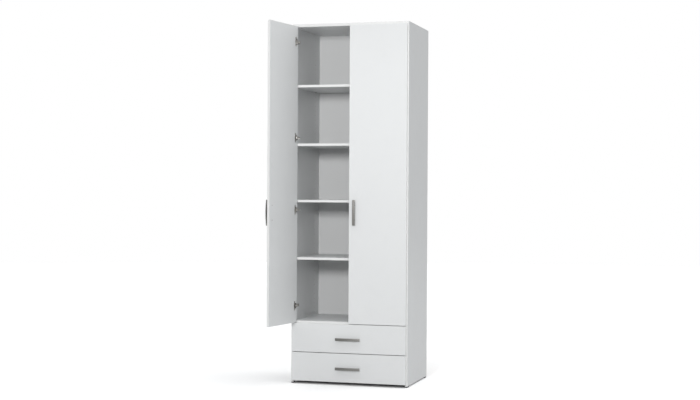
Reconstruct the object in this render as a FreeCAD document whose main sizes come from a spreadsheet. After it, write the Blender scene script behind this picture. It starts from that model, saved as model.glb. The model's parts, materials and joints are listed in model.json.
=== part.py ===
"""Tall two-door wardrobe with two drawers, as a parametric FreeCAD document.

The origin is the lower front left corner of the carcass, on the floor: +X to the
right, +Y to the back, +Z up.  The left door is modelled standing open, the right
door and both drawers closed.  Across the wardrobe, hinge points are measured from
the outer face of the nearer side panel, so both sides share one set of sizes.
"""
import FreeCAD, Part
import Sketcher
import math
import os
import re

from FreeCAD import Placement, Rotation, Vector

SIZES = (
    # carcass
    ("width", 800), ("depth", 560), ("height", 2400),
    ("board", 16), ("top_board", 19), ("back_board", 3),
    ("back_inset", 9), ("groove_depth", 6), ("groove_slack", 0.4),
    ("back_grip", 5), ("back_joint", 1),
    ("glide_height", 8), ("glide_length", 40), ("glide_end", 12),
    ("base_rise", 24), ("middle_drop", 5),
    # shelves on the row holes of the side panels
    ("hole_pitch", 32), ("hole_count", 59), ("top_hole_drop", 104),
    ("hole_radius", 2.5), ("hole_depth", 10), ("front_row", 37), ("row_spacing", 416),
    ("shelf_setback", 5), ("shelf_slack", 1), ("shelf_back_gap", 2), ("fixed_shelf_rise", 1587),
    ("pin_radius", 2.45), ("pin_length", 17), ("bore_spare", 1), ("screw_slack", 0.05),
    # knock-down fittings
    ("cam_radius", 7.5), ("cam_depth", 12.5), ("cam_height", 12), ("cam_inset", 24),
    ("fitting_slack", 0.1),
    ("bolt_radius", 3.5), ("bolt_tip_radius", 2.5), ("bolt_tip", 10),
    ("dowel_radius", 4), ("dowel_length", 27), ("dowel_in_side", 11.5),
    ("dowel_side_bore", 12), ("dowel_panel_bore", 19),
    ("fitting_margin", 60), ("dowel_offset", 32),
    # doors
    ("door_board", 16), ("front_gap", 2), ("side_reveal", 8), ("top_reveal", 15),
    ("meeting_gap", 3), ("door_foot", 408), ("door_angle", 99),
    # drawers
    ("front_foot", 20), ("front_spacing", 4), ("box_board", 12), ("box_rise", 48),
    ("box_height", 120), ("box_length", 500), ("runner_gap", 12.5),
    ("bottom_board", 3), ("bottom_rise", 10), ("bottom_groove", 6), ("bottom_play", 0.5),
    ("bracket_leg", 22), ("bracket_height", 60), ("bracket_steel", 1.5), ("bracket_gap", 0.2),
    ("bracket_rise", 20),
    # roller runners
    ("steel", 1.2), ("flange", 9.5), ("roller_radius", 9.5), ("roller_width", 7),
    ("roller_side_gap", 1), ("axle_radius", 2), ("axle_slack", 0.06), ("rolling_gap", 0.05),
    ("front_roller_inset", 14), ("rear_roller_inset", 12), ("runner_setback", 2),
    ("runner_wall", 24), ("channel_gap", 0.6), ("upper_flange_start", 32), ("axle_end", 0.3),
    ("runner_screw_radius", 2), ("runner_screw_length", 13), ("runner_screw_inset", 37),
    ("runner_screw_drop", 12.5), ("rail_height", 30), ("rail_flange", 8.5),
    ("hanger_height", 17),
    # bow handles
    ("handle_length", 168), ("handle_spacing", 96), ("handle_width", 18),
    ("handle_thickness", 5), ("handle_projection", 28), ("handle_bow", 5),
    ("handle_inset", 37), ("handle_middle", 1144), ("drawer_handle_drop", 99),
    ("post_radius", 5), ("screw_radius", 2), ("screw_head_radius", 4),
    ("screw_head", 2.4), ("screw_grip", 8), ("through_slack", 0.3),
    # concealed hinges
    ("cup_radius", 17.5), ("cup_depth", 11.5), ("cup_tab", 5), ("cup_wall", 0.8),
    ("cup_rim", 19), ("cup_rim_height", 1.2), ("cup_ears", 62), ("cup_ear_width", 14),
    ("ear_screw_spacing", 48), ("ear_screw_radius", 1.9), ("ear_screw_length", 12),
    ("ear_screw_setback", 9.5), ("ear_bore_depth", 11),
    ("pivot_radius", 1.25), ("pivot_slack", 0.05), ("open_pivot_slack", 0.8),
    ("outer_pin_reach", 13.3), ("inner_pin_reach", 12.8),
    ("link_half", 5.4), ("link_split", 0.4), ("cheek_inner", 6), ("cheek_outer", 7.2),
    ("link_width", 1.8), ("link_eye", 2.6),
    ("plate_height", 48), ("plate_depth", 40), ("plate_thickness", 3), ("plate_wing", 18),
    ("plate_lead", 13), ("plate_screw_head", 1.6),
    ("arm_tail", 62), ("arm_gap", 0.2), ("arm_rise", 13), ("arm_bend", 26.4),
    ("arm_web_bend", 26.1),
)

# Hinge pivots and bends with the door closed, measured across from the door's hinge
# edge and back from the door's inner face.
OUTER_LINK = ((34.9, 0.6), (34.3, -6.6), (19.6, -7.3), (13.3, -4.0))
INNER_LINK = ((37.7, 7.1), (31.8, 6.6), (23.3, -6.1), (12.0, -3.3))
OUTER_LINK_TURN = 50.4
INNER_LINK_TURN = 42.1

# Outline of the arm's nose, measured as the pivots are, and the two corners where its
# underside steps up from the plate, measured from the outer face and the front.
ARM_NOSE = ((32.2, 6.0), (32.2, -2.2), (36.8, -2.2), (37.2, 1.6), (41.2, 5.0), (41.2, 11.9))
ARM_WEB_END = (40.6, 11.5)
ARM_STEP_DEPTH = 30
ARM_STEP_CORNER = (30, 22)

# Row holes, counted down from the top one, that carry pins or hinge plates.
PIN_ROWS = {"shelf_upper": 10, "shelf_middle": 34, "shelf_lower": 46}
HINGE_ROWS = (0, 20, 35, 55)

doc = FreeCAD.newDocument("wardrobe")
sheet = doc.addObject("Spreadsheet::Sheet", "Sizes")
for row, (alias, value) in enumerate(SIZES, start=1):
    sheet.set("A%d" % row, alias)
    sheet.set("B%d" % row, str(value))
    sheet.setAlias("B%d" % row, alias)
doc.recompute()

ALIASES = {alias for alias, _ in SIZES}
nodes = {}


def formula(text):
    """The expression with each size's name pointing at its cell."""
    def cell(match):
        word = match.group(0)
        return "Sizes." + word if word in ALIASES else word
    return re.sub(r"[a-z][a-z_]*", cell, str(text))


def number(text):
    """The value of an expression in the sizes, in millimetres."""
    return float(sheet.evalExpression(formula(text)))


def bind(piece, prop, text):
    piece.setExpression(prop, formula(text))


def bind_corner(piece, corner):
    for axis, text in zip("xyz", corner):
        bind(piece, "Placement.Base." + axis, text)


# ---- primitives, booleans and groups -------------------------------------------

AXIS_TURN = {
    "x": Rotation(Vector(0, 1, 0), 90),
    "y": Rotation(Vector(1, 0, 0), -90),
    "z": Rotation(),
}


def box(name, size, corner):
    piece = doc.addObject("Part::Box", name)
    for prop, text in zip(("Length", "Width", "Height"), size):
        bind(piece, prop, text)
    bind_corner(piece, corner)
    return piece


def rod(name, radius, length, axis, start):
    """A cylinder that runs from start along +X, +Y or +Z."""
    piece = doc.addObject("Part::Cylinder", name)
    bind(piece, "Radius", radius)
    bind(piece, "Height", length)
    piece.Placement = Placement(Vector(), AXIS_TURN[axis])
    bind_corner(piece, start)
    return piece


def group(name, pieces):
    piece = doc.addObject("Part::Compound", name)
    piece.Links = list(pieces)
    return piece


def fuse(name, pieces):
    piece = doc.addObject("Part::MultiFuse", name)
    piece.Shapes = list(pieces)
    return piece


def cut(name, base, tools):
    piece = doc.addObject("Part::Cut", name)
    piece.Base = base
    piece.Tool = group(name + "_tools", tools)
    return piece


# ---- sketched bodies --------------------------------------------------------------

def new_body(name):
    return doc.addObject("PartDesign::Body", name)


def sketch(body, name, role, offset="0"):
    """A sketch on one of the body's own origin planes, moved along its normal."""
    plane = next(item for item in body.Origin.OriginFeatures if item.Role == role)
    drawing = body.newObject("Sketcher::SketchObject", name)
    drawing.AttachmentSupport = [(plane, "")]
    drawing.MapMode = "FlatFace"
    bind(drawing, "AttachmentOffset.Base.z", offset)
    return drawing


def dimension(drawing, kind, *geometry, text):
    index = drawing.addConstraint(Sketcher.Constraint(kind, *geometry, abs(number(text))))
    drawing.setExpression("Constraints[%d]" % index, formula(text))


def place_point(drawing, line, point, across, up):
    """Hold one point at a distance from the sketch's origin, which may be nothing."""
    for kind, text in (("DistanceX", across), ("DistanceY", up)):
        if abs(number(text)) < 1e-9:
            on_axis = -2 if kind == "DistanceX" else -1
            drawing.addConstraint(Sketcher.Constraint("PointOnObject", line, point, on_axis))
            continue
        index = drawing.addConstraint(
            Sketcher.Constraint(kind, -1, 1, line, point, number(text)))
        drawing.setExpression("Constraints[%d]" % index, formula(text))


def rectangle(drawing, across, up, width, height):
    x0, y0 = number(across), number(up)
    x1, y1 = x0 + number(width), y0 + number(height)
    corners = [Vector(x0, y0, 0), Vector(x1, y0, 0), Vector(x1, y1, 0), Vector(x0, y1, 0)]
    first = drawing.GeometryCount
    for here, after in zip(corners, corners[1:] + corners[:1]):
        drawing.addGeometry(Part.LineSegment(here, after))
    for side in range(4):
        drawing.addConstraint(
            Sketcher.Constraint("Coincident", first + side, 2, first + (side + 1) % 4, 1))
        kind = "Vertical" if side % 2 else "Horizontal"
        drawing.addConstraint(Sketcher.Constraint(kind, first + side))
    place_point(drawing, first, 1, across, up)
    dimension(drawing, "DistanceX", first, 1, first, 2, text=width)
    dimension(drawing, "DistanceY", first + 1, 1, first + 1, 2, text=height)


def circle(drawing, across, up, radius):
    centre = Vector(number(across), number(up), 0)
    index = drawing.addGeometry(Part.Circle(centre, Vector(0, 0, 1), number(radius)))
    place_point(drawing, index, 3, across, up)
    dimension(drawing, "Radius", index, text=radius)


def polygon(drawing, corners):
    """A closed outline; each corner is a pair of expressions from the sketch's origin."""
    points = [Vector(number(across), number(up), 0) for across, up in corners]
    first = drawing.GeometryCount
    for here, after in zip(points, points[1:] + points[:1]):
        drawing.addGeometry(Part.LineSegment(here, after))
    count = len(points)
    for side, (across, up) in enumerate(corners):
        drawing.addConstraint(
            Sketcher.Constraint("Coincident", first + side, 2, first + (side + 1) % count, 1))
        place_point(drawing, first + side, 1, across, up)


def pad(body, drawing, name, length, backwards=False, middle=False):
    feature = body.newObject("PartDesign::Pad", name)
    feature.Profile = drawing
    bind(feature, "Length", length)
    feature.Reversed = backwards
    feature.Midplane = middle
    return feature


def pocket(body, drawing, name, length, backwards=False):
    feature = body.newObject("PartDesign::Pocket", name)
    feature.Profile = drawing
    bind(feature, "Length", length)
    feature.Reversed = backwards
    return feature


# ---- naming and resting poses -----------------------------------------------------

def node(label, piece, pose=None):
    """Keep a finished piece under its own label, standing in its resting pose."""
    if pose is not None:
        piece = group(label + "_posed", [piece])
        piece.Placement = pose
    piece.Label = label
    nodes[label] = piece
    return piece


def turn_about(centre, degrees):
    return Placement(Vector(), Rotation(Vector(0, 0, 1), degrees), Vector(*centre, 0))


def across(side, inset, size="0"):
    """X of a feature at an inset from the outer face of the left or right side."""
    if side == "left":
        return "(%s)" % inset
    return "(width - (%s) - (%s))" % (inset, size)


# ---- derived places ---------------------------------------------------------------

BACK_FACE = "(depth - back_inset - back_board)"
MIDDLE_FOOT = "(door_foot - middle_drop)"
TOP_HOLE = "(height - top_hole_drop)"
REAR_ROW = "(front_row + row_spacing)"
DOOR_WIDTH = "((width - 2 * side_reveal - meeting_gap) / 2)"
DOOR_HEIGHT = "(height - top_reveal - door_foot)"
FRONT_WIDTH = "(width - 2 * side_reveal)"
FRONT_HEIGHT = "((door_foot - 2 * front_spacing - front_foot) / 2)"
DRAWER_FOOT = {
    "lower": "front_foot",
    "upper": "(front_foot + %s + front_spacing)" % FRONT_HEIGHT,
}
SIDES = ("left", "right")


def row_height(index):
    return "(%s - %s * hole_pitch)" % (TOP_HOLE, index)


FIXED_PANELS = {
    "top_panel": ("(height - top_board)", "top_board", "depth"),
    "shelf_fixed": ("fixed_shelf_rise", "board", BACK_FACE),
    "middle_panel": (MIDDLE_FOOT, "board", BACK_FACE),
    "base_panel": ("base_rise", "board", BACK_FACE),
}


def fitting_rows(depth):
    """Y of the front and the rear cam of a fixed panel."""
    return ("fitting_margin", "(%s - fitting_margin)" % depth)


def dowel_rows(depth):
    front, rear = fitting_rows(depth)
    return ("(%s + dowel_offset)" % front, "(%s - dowel_offset)" % rear)


# ---- carcass ----------------------------------------------------------------------

def runner_foot(drawer):
    """Underside of a drawer box, which the runners carry."""
    return "(%s + box_rise)" % DRAWER_FOOT[drawer]


RUNNER_SCREW_ROWS = ("runner_screw_inset", "(box_length / 2)",
                     "(box_length - runner_screw_inset)")


def runner_screw_height(drawer):
    return "(%s - runner_screw_drop)" % runner_foot(drawer)


def side_panel(side):
    """One side: row holes, back groove, and holes for fittings and runner screws."""
    body = new_body("side_panel_" + side)
    bind(body, "Placement.Base.x", "0" if side == "left" else "width - board")
    inner = "board" if side == "left" else "0"
    away = side == "right"
    outline = sketch(body, "outline_" + side, "YZ_Plane")
    rectangle(outline, "0", "glide_height", "depth", "height - glide_height")
    pad(body, outline, "panel_" + side, "board")
    groove = sketch(body, "groove_" + side, "YZ_Plane", inner)
    rectangle(groove, BACK_FACE, "glide_height", "back_board + groove_slack",
              "height - glide_height")
    pocket(body, groove, "back_groove_" + side, "groove_depth", away)
    bolts = sketch(body, "bolt_holes_" + side, "YZ_Plane", inner)
    pegs = sketch(body, "dowel_holes_" + side, "YZ_Plane", inner)
    for foot, thickness, depth in FIXED_PANELS.values():
        middle = "(%s + %s / 2)" % (foot, thickness)
        for row in fitting_rows(depth):
            circle(bolts, row, middle, "bolt_tip_radius + fitting_slack")
        for row in dowel_rows(depth):
            circle(pegs, row, middle, "dowel_radius + fitting_slack")
    pocket(body, bolts, "bolt_bores_" + side, "bolt_tip + fitting_slack", away)
    pocket(body, pegs, "dowel_bores_" + side, "dowel_side_bore", away)
    pilots = sketch(body, "pilots_" + side, "YZ_Plane", inner)
    for drawer in DRAWER_FOOT:
        for row in RUNNER_SCREW_ROWS:
            circle(pilots, row, runner_screw_height(drawer), "runner_screw_radius + screw_slack")
    pocket(body, pilots, "pilot_bores_" + side, "runner_screw_length", away)
    holes = sketch(body, "row_holes_" + side, "YZ_Plane", inner)
    for row in ("front_row", REAR_ROW):
        circle(holes, row, row_height("(hole_count - 1)"), "hole_radius")
    bores = pocket(body, holes, "row_bores_" + side, "hole_depth", away)
    doc.recompute()
    rows = body.newObject("PartDesign::LinearPattern", "row_pattern_" + side)
    rows.Originals = [bores]
    rows.Direction = (holes, ["V_Axis"])
    bind(rows, "Length", "hole_pitch * (hole_count - 1)")
    bind(rows, "Occurrences", "hole_count")
    body.Tip = rows
    node("side_panel_" + side, body)


def fixed_panel(label):
    """A panel cammed between the sides, with bores for its bolts, dowels and cams."""
    foot, thickness, depth = FIXED_PANELS[label]
    middle = "(%s + %s / 2)" % (foot, thickness)
    blank = box(label + "_blank", ("width - 2 * board", depth, thickness), ("board", "0", foot))
    tools = []
    for side in SIDES:
        for place, row in enumerate(fitting_rows(depth)):
            mark = "%s_%s_%d" % (label, side, place)
            tools.append(rod(mark + "_cam_bore", "cam_radius", "cam_depth", "z",
                             (across(side, "board + cam_inset"), row, foot)))
            tools.append(rod(mark + "_bolt_bore", "bolt_radius + fitting_slack", "cam_inset", "x",
                             (across(side, "board", "cam_inset"), row, middle)))
        for place, row in enumerate(dowel_rows(depth)):
            mark = "%s_%s_%d" % (label, side, place)
            tools.append(rod(mark + "_dowel_bore", "dowel_radius + fitting_slack",
                             "dowel_panel_bore", "x",
                             (across(side, "board", "dowel_panel_bore"), row, middle)))
    if label == "top_panel":
        tools.append(box("top_groove", ("width - 2 * board", "back_board + groove_slack",
                                        "groove_depth"), ("board", BACK_FACE, foot)))
    node(label, cut(label + "_bored", blank, tools))


def fittings():
    """Cams, connecting bolts and dowels of every fixed panel."""
    cams, bolts, pegs = [], [], []
    for label, (foot, thickness, depth) in FIXED_PANELS.items():
        middle = "(%s + %s / 2)" % (foot, thickness)
        for side in SIDES:
            for place, row in enumerate(fitting_rows(depth)):
                mark = "%s_%s_%d" % (label, side, place)
                cams.append(rod(mark + "_cam", "cam_radius - fitting_slack", "cam_height", "z",
                                (across(side, "board + cam_inset"), row, foot)))
                stem = "cam_inset - cam_radius"
                bolts.append(fuse(mark + "_bolt", [
                    rod(mark + "_tip", "bolt_tip_radius", "bolt_tip", "x",
                        (across(side, "board - bolt_tip", "bolt_tip"), row, middle)),
                    rod(mark + "_stem", "bolt_radius", stem, "x",
                        (across(side, "board", stem), row, middle)),
                ]))
            for place, row in enumerate(dowel_rows(depth)):
                mark = "%s_%s_%d" % (label, side, place)
                pegs.append(rod(mark + "_peg", "dowel_radius", "dowel_length", "x",
                                (across(side, "board - dowel_in_side", "dowel_length"), row,
                                 middle)))
    node("cam_locks", group("cam_set", cams))
    node("cam_bolts", group("bolt_set", bolts))
    node("dowels", group("dowel_set", pegs))


def backs():
    """Two sheets of hardboard, joined behind the middle panel and held in the grooves."""
    wide = "width - 2 * board + 2 * back_grip"
    split = "(%s + board / 2)" % MIDDLE_FOOT
    lower_height = split + " - back_joint / 2 - base_rise"
    upper_height = "height - top_board + back_grip - %s - back_joint / 2" % split
    node("back_panel_lower", box("lower_back", (wide, "back_board", lower_height),
                                 ("board - back_grip", BACK_FACE, "base_rise")))
    node("back_panel_upper", box("upper_back", (wide, "back_board", upper_height),
                                 ("board - back_grip", BACK_FACE, split + " + back_joint / 2")))


def loose_shelves():
    """Three shelves, each on four pins in the row holes."""
    pins = []
    wide = "width - 2 * board - 2 * shelf_slack"
    deep = BACK_FACE + " - shelf_setback - shelf_back_gap"
    for label, index in PIN_ROWS.items():
        foot = "(%s + hole_radius)" % row_height(index)
        node(label, box(label + "_board", (wide, deep, "board"),
                        ("board + shelf_slack", "shelf_setback", foot)))
        for side in SIDES:
            for place, row in enumerate(("front_row", REAR_ROW)):
                pins.append(rod("%s_pin_%s_%d" % (label, side, place), "pin_radius",
                                "pin_length", "x",
                                (across(side, "board - hole_depth + bore_spare", "pin_length"), row,
                                 row_height(index))))
    node("shelf_pins", group("pin_set", pins))


def glides():
    """Plastic glides under the front and rear ends of both sides."""
    feet = []
    for side in SIDES:
        for end, start in (("front", "0"), ("rear", "depth - glide_length - glide_end")):
            feet.append(box("glide_%s_%s" % (end, side), ("board", "glide_length", "glide_height"),
                            (across(side, "0", "board"), start, "0")))
    node("glides", group("glide_set", feet))


# ---- handles ----------------------------------------------------------------------

def bowed_outline(drawing):
    """A bar's two arcs and its ends: arc, right end, arc, left end."""
    half = "handle_length / 2"
    outer, inner = "handle_projection", "handle_projection - handle_thickness"
    for top in (outer, inner):
        reach, high, low = number(half), number(top), number(top + " - handle_bow")
        drawing.addGeometry(Part.Arc(Vector(reach, low, 0), Vector(0, high, 0),
                                     Vector(-reach, low, 0)))
    outer_end, inner_end = outer + " - handle_bow", inner + " - handle_bow"
    for sign, ends in (("", (outer_end, inner_end)), ("-", (inner_end, outer_end))):
        reach = number("%s(%s)" % (sign, half))
        drawing.addGeometry(Part.LineSegment(Vector(reach, number(ends[0]), 0),
                                             Vector(reach, number(ends[1]), 0)))
    outer_arc, inner_arc, right, left = range(4)
    for one, two in (((outer_arc, 1), (right, 1)), ((inner_arc, 1), (right, 2)),
                     ((inner_arc, 2), (left, 1)), ((outer_arc, 2), (left, 2))):
        drawing.addConstraint(Sketcher.Constraint("Coincident", *one, *two))
    place_point(drawing, right, 1, half, outer_end)
    place_point(drawing, right, 2, half, inner_end)
    place_point(drawing, left, 1, "-(%s)" % half, inner_end)
    place_point(drawing, left, 2, "-(%s)" % half, outer_end)
    for arc in (outer_arc, inner_arc):
        dimension(drawing, "Radius", arc,
                  text="(handle_length ^ 2 / 4 + handle_bow ^ 2) / (2 * handle_bow)")


def handle(label, upright, centre, pose=None):
    """A bowed flat bar on two round posts; centre is on the front's outer face."""
    body = new_body(label + "_body")
    bow = sketch(body, label + "_bow", "XY_Plane")
    bowed_outline(bow)
    pad(body, bow, label + "_bar", "handle_width", middle=True)
    feet = sketch(body, label + "_feet", "XZ_Plane")
    bores = sketch(body, label + "_bores", "XZ_Plane")
    for place in ("handle_spacing / 2", "-handle_spacing / 2"):
        circle(feet, place, "0", "post_radius")
        circle(bores, place, "0", "screw_radius + screw_slack")
    pad(body, feet, label + "_posts", "handle_projection - handle_bow - handle_thickness / 2",
        backwards=True)
    pocket(body, bores, label + "_screw_bores", "screw_grip + bore_spare")
    facing_out = Rotation(Vector(0, 0, 1), 180)
    stood_up = Rotation(Vector(0, 1, 0), 90 if upright else 0)
    body.Placement = Placement(Vector(), facing_out.multiply(stood_up))
    bind_corner(body, centre)
    node(label, body, pose)


def handle_screws(label, centres, inner_face, thickness, pose=None):
    """Pan-head screws put through a front from its inner face into the posts."""
    screws = []
    for place, (x, z) in enumerate(centres):
        shank = "(%s + screw_grip)" % thickness
        screws.append(fuse("%s_%d" % (label, place), [
            rod("%s_shank_%d" % (label, place), "screw_radius", shank, "y",
                (x, "%s - %s" % (inner_face, shank), z)),
            rod("%s_head_%d" % (label, place), "screw_head_radius", "screw_head", "y",
                (x, inner_face, z)),
        ]))
    node(label, group(label + "_set", screws), pose)


# ---- doors and hinges -------------------------------------------------------------

INNER_FACE = "(-front_gap)"
CUP_CENTRE = "(side_reveal + cup_tab + cup_radius)"


def hinge_heights():
    return [row_height("(%d + 0.5)" % index) for index in HINGE_ROWS]


def hinge_point(point):
    """A hinge point as distances from the outer face of the side and the carcass front."""
    return (number("side_reveal") + point[0], point[1] - number("front_gap"))


def turned(point, centre, degrees):
    angle = math.radians(degrees)
    dx, dy = point[0] - centre[0], point[1] - centre[1]
    return (centre[0] + dx * math.cos(angle) - dy * math.sin(angle),
            centre[1] + dx * math.sin(angle) + dy * math.cos(angle))


def door_pose(side):
    """Where the door's closed pieces stand at rest: the left one is swung open."""
    if side == "right":
        return None
    angle = number("door_angle")
    arm_pivot, cup_pivot = hinge_point(OUTER_LINK[0]), hinge_point(OUTER_LINK[3])
    moved = turned(cup_pivot, arm_pivot, OUTER_LINK_TURN)
    swing = Placement(Vector(), Rotation(Vector(0, 0, 1), -angle), Vector(*cup_pivot, 0))
    shift = Placement(Vector(moved[0] - cup_pivot[0], moved[1] - cup_pivot[1], 0), Rotation())
    return shift.multiply(swing)


def door(side):
    pose = door_pose(side)
    body = new_body("door_" + side)
    bind_corner(body, (across(side, "side_reveal", DOOR_WIDTH), INNER_FACE, "door_foot"))

    def along(inset):
        return inset if side == "left" else "%s - (%s)" % (DOOR_WIDTH, inset)

    outline = sketch(body, "door_outline_" + side, "XZ_Plane")
    rectangle(outline, "0", "0", DOOR_WIDTH, DOOR_HEIGHT)
    pad(body, outline, "door_board_" + side, "door_board")
    cups = sketch(body, "cup_circles_" + side, "XZ_Plane")
    pilots = sketch(body, "ear_circles_" + side, "XZ_Plane")
    for height in hinge_heights():
        up = "%s - door_foot" % height
        circle(cups, along("cup_tab + cup_radius"), up, "cup_radius")
        for shift in ("+", "-"):
            circle(pilots, along("cup_tab + cup_radius + ear_screw_setback"),
                   "%s %s ear_screw_spacing / 2" % (up, shift), "ear_screw_radius + screw_slack")
    pocket(body, cups, "cup_bores_" + side, "cup_depth", backwards=True)
    pocket(body, pilots, "ear_bores_" + side, "ear_bore_depth", backwards=True)
    screws = sketch(body, "handle_circles_" + side, "XZ_Plane")
    for shift in ("+", "-"):
        circle(screws, along(DOOR_WIDTH + " - handle_inset"),
               "handle_middle - door_foot %s handle_spacing / 2" % shift,
               "screw_radius + through_slack")
    pocket(body, screws, "handle_bores_" + side, "door_board", backwards=True)
    node("door_" + side, body, pose)
    middle = across(side, "side_reveal + %s - handle_inset" % DOOR_WIDTH)
    handle("handle_door_" + side, True, (middle, "-front_gap - door_board", "handle_middle"), pose)
    handle_screws("handle_screws_door_" + side, [
        (middle, "handle_middle + handle_spacing / 2"),
        (middle, "handle_middle - handle_spacing / 2")], INNER_FACE, "door_board", pose)


def hinge_cups(side):
    """Pressed cups with a round rim, two ears and the pins that the links turn on."""
    cups, screws = [], []
    pins = (("outer", OUTER_LINK[3], "outer_pin_reach", "link_split / 2"),
            ("inner", INNER_LINK[3], "inner_pin_reach", "-inner_pin_reach"))
    for place, height in enumerate(hinge_heights()):
        mark = "cup_%s_%d" % (side, place)
        rim_back = "(%s + cup_rim_height)" % INNER_FACE
        shell = fuse(mark + "_blank", [
            rod(mark + "_outside", "cup_radius - fitting_slack",
                "cup_depth - fitting_slack", "y",
                (across(side, CUP_CENTRE), INNER_FACE + " - cup_depth + fitting_slack", height)),
            rod(mark + "_rim", "cup_rim", "cup_rim_height", "y",
                (across(side, CUP_CENTRE), INNER_FACE, height)),
            box(mark + "_ears", ("cup_ear_width", "cup_rim_height", "cup_ears"),
                (across(side, CUP_CENTRE + " + ear_screw_setback - cup_ear_width / 2",
                        "cup_ear_width"), INNER_FACE, height + " - cup_ears / 2")),
        ])
        hollow = [rod(mark + "_inside", "cup_radius - cup_wall",
                      "cup_depth + cup_rim_height", "y",
                      (across(side, CUP_CENTRE), INNER_FACE + " - cup_depth + cup_wall",
                       height))]
        for shift in ("+", "-"):
            at = (across(side, CUP_CENTRE + " + ear_screw_setback"), INNER_FACE,
                  "%s %s ear_screw_spacing / 2" % (height, shift))
            hollow.append(rod(mark + "_ear_hole" + ("a" if shift == "+" else "b"),
                              "ear_screw_radius + screw_slack", "cup_rim_height", "y", at))
            screws.append(rod(mark + "_ear_screw" + ("a" if shift == "+" else "b"),
                              "ear_screw_radius", "ear_screw_length", "y",
                              (at[0], rim_back + " - ear_screw_length", at[2])))
        pieces = [cut(mark + "_shell", shell, hollow)]
        for name, pivot, reach, start in pins:
            inset, back = hinge_point(pivot)
            pieces.append(rod(mark + "_pin_" + name, "pivot_radius", reach + " - link_split / 2", "z",
                              (across(side, inset), back, "%s + %s" % (height, start))))
        cups.append(fuse(mark, pieces))
    node("hinge_cups_" + side, group("cup_set_" + side, cups), door_pose(side))
    node("hinge_cup_screws_" + side, group("cup_screw_set_" + side, screws), door_pose(side))


def strip_outline(points, width):
    """Both edges of a bent strip of even width, mitred at its bends."""
    edges = ([], [])
    for place, point in enumerate(points):
        directions = []
        for one, two in ((place - 1, place), (place, place + 1)):
            if one < 0 or two >= len(points):
                continue
            dx, dy = points[two][0] - points[one][0], points[two][1] - points[one][1]
            size = math.hypot(dx, dy)
            directions.append((dx / size, dy / size))
        mean = [sum(values) / len(directions) for values in zip(*directions)]
        scale = (width / 2) / (mean[0] ** 2 + mean[1] ** 2)
        for edge, sign in zip(edges, (1, -1)):
            edge.append((point[0] - sign * mean[1] * scale, point[1] + sign * mean[0] * scale))
    return edges[0] + edges[1][::-1]


def prism(name, side, points, foot, thickness):
    """A flat plate cut to an outline given in hinge points, standing on foot."""
    body = new_body(name)
    drawing = sketch(body, name + "_outline", "XY_Plane")
    corners = [(("%.4f" % x) if side == "left" else "%.4f" % -x, "%.4f" % y) for x, y in points]
    polygon(drawing, corners)
    pad(body, drawing, name + "_pad", thickness)
    bind_corner(body, ("0" if side == "left" else "width", "0", foot))
    return body


def hinge_links(side, kind, bends, turn, foot, eye_slack):
    """One link of every hinge on a side: a bent strip with an eye at either end."""
    points = [hinge_point(point) for point in bends]
    links = []
    for place, height in enumerate(hinge_heights()):
        mark = "link_%s_%s_%d" % (kind, side, place)
        start = "%s + %s" % (height, foot)
        thick = "link_half - link_split"
        blank = fuse(mark + "_blank", [
            prism(mark + "_strip", side, strip_outline(points, number("link_width")),
                  start, thick),
            rod(mark + "_arm_eye", "link_eye", thick, "z",
                (across(side, points[0][0]), points[0][1], start)),
            rod(mark + "_cup_eye", "link_eye + %s" % eye_slack, thick, "z",
                (across(side, points[-1][0]), points[-1][1], start)),
        ])
        links.append(cut(mark, blank, [
            rod(mark + "_arm_bore", "pivot_radius + pivot_slack", thick, "z",
                (across(side, points[0][0]), points[0][1], start)),
            rod(mark + "_cup_bore", "pivot_radius + pivot_slack + %s" % eye_slack, thick, "z",
                (across(side, points[-1][0]), points[-1][1], start)),
        ]))
    pose = turn_about(points[0], turn) if side == "left" else None
    node("hinge_links_%s_%s" % (kind, side), group("link_set_%s_%s" % (kind, side), links), pose)


def hinge_arms(side):
    """Cranked arms: two cheeks and a bent web, with the pins of both links in the nose."""
    tail, bend = number("arm_tail"), number("arm_bend")
    sheet_thickness = number("cheek_outer - cheek_inner")
    seat = number("board + plate_thickness + arm_gap")
    back = seat + number("arm_rise")
    cheek = [hinge_point(point) for point in ARM_NOSE]
    cheek += [(back, bend), (back, tail), (seat, tail), (seat, ARM_STEP_DEPTH), ARM_STEP_CORNER]
    web_middle = back - sheet_thickness / 2
    web = strip_outline([(web_middle, tail), (web_middle, number("arm_web_bend")),
                         hinge_point(ARM_WEB_END)], sheet_thickness)
    arms = []
    for place, height in enumerate(hinge_heights()):
        mark = "arm_%s_%d" % (side, place)
        thick = "cheek_outer - cheek_inner"
        pieces = [
            prism(mark + "_upper_cheek", side, cheek, height + " + cheek_inner", thick),
            prism(mark + "_lower_cheek", side, cheek, height + " - cheek_outer", thick),
            prism(mark + "_web", side, web, height + " - cheek_outer", "2 * cheek_outer"),
        ]
        for name, pivot, shift in (("outer", OUTER_LINK[0], ""),
                                   ("inner", INNER_LINK[0], " - cheek_outer")):
            inset, depth = hinge_point(pivot)
            pieces.append(rod("%s_pin_%s" % (mark, name), "pivot_radius", "cheek_outer", "z",
                              (across(side, inset), depth, height + shift)))
        arms.append(fuse(mark, pieces))
    node("hinge_arms_" + side, group("arm_set_" + side, arms))


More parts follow.
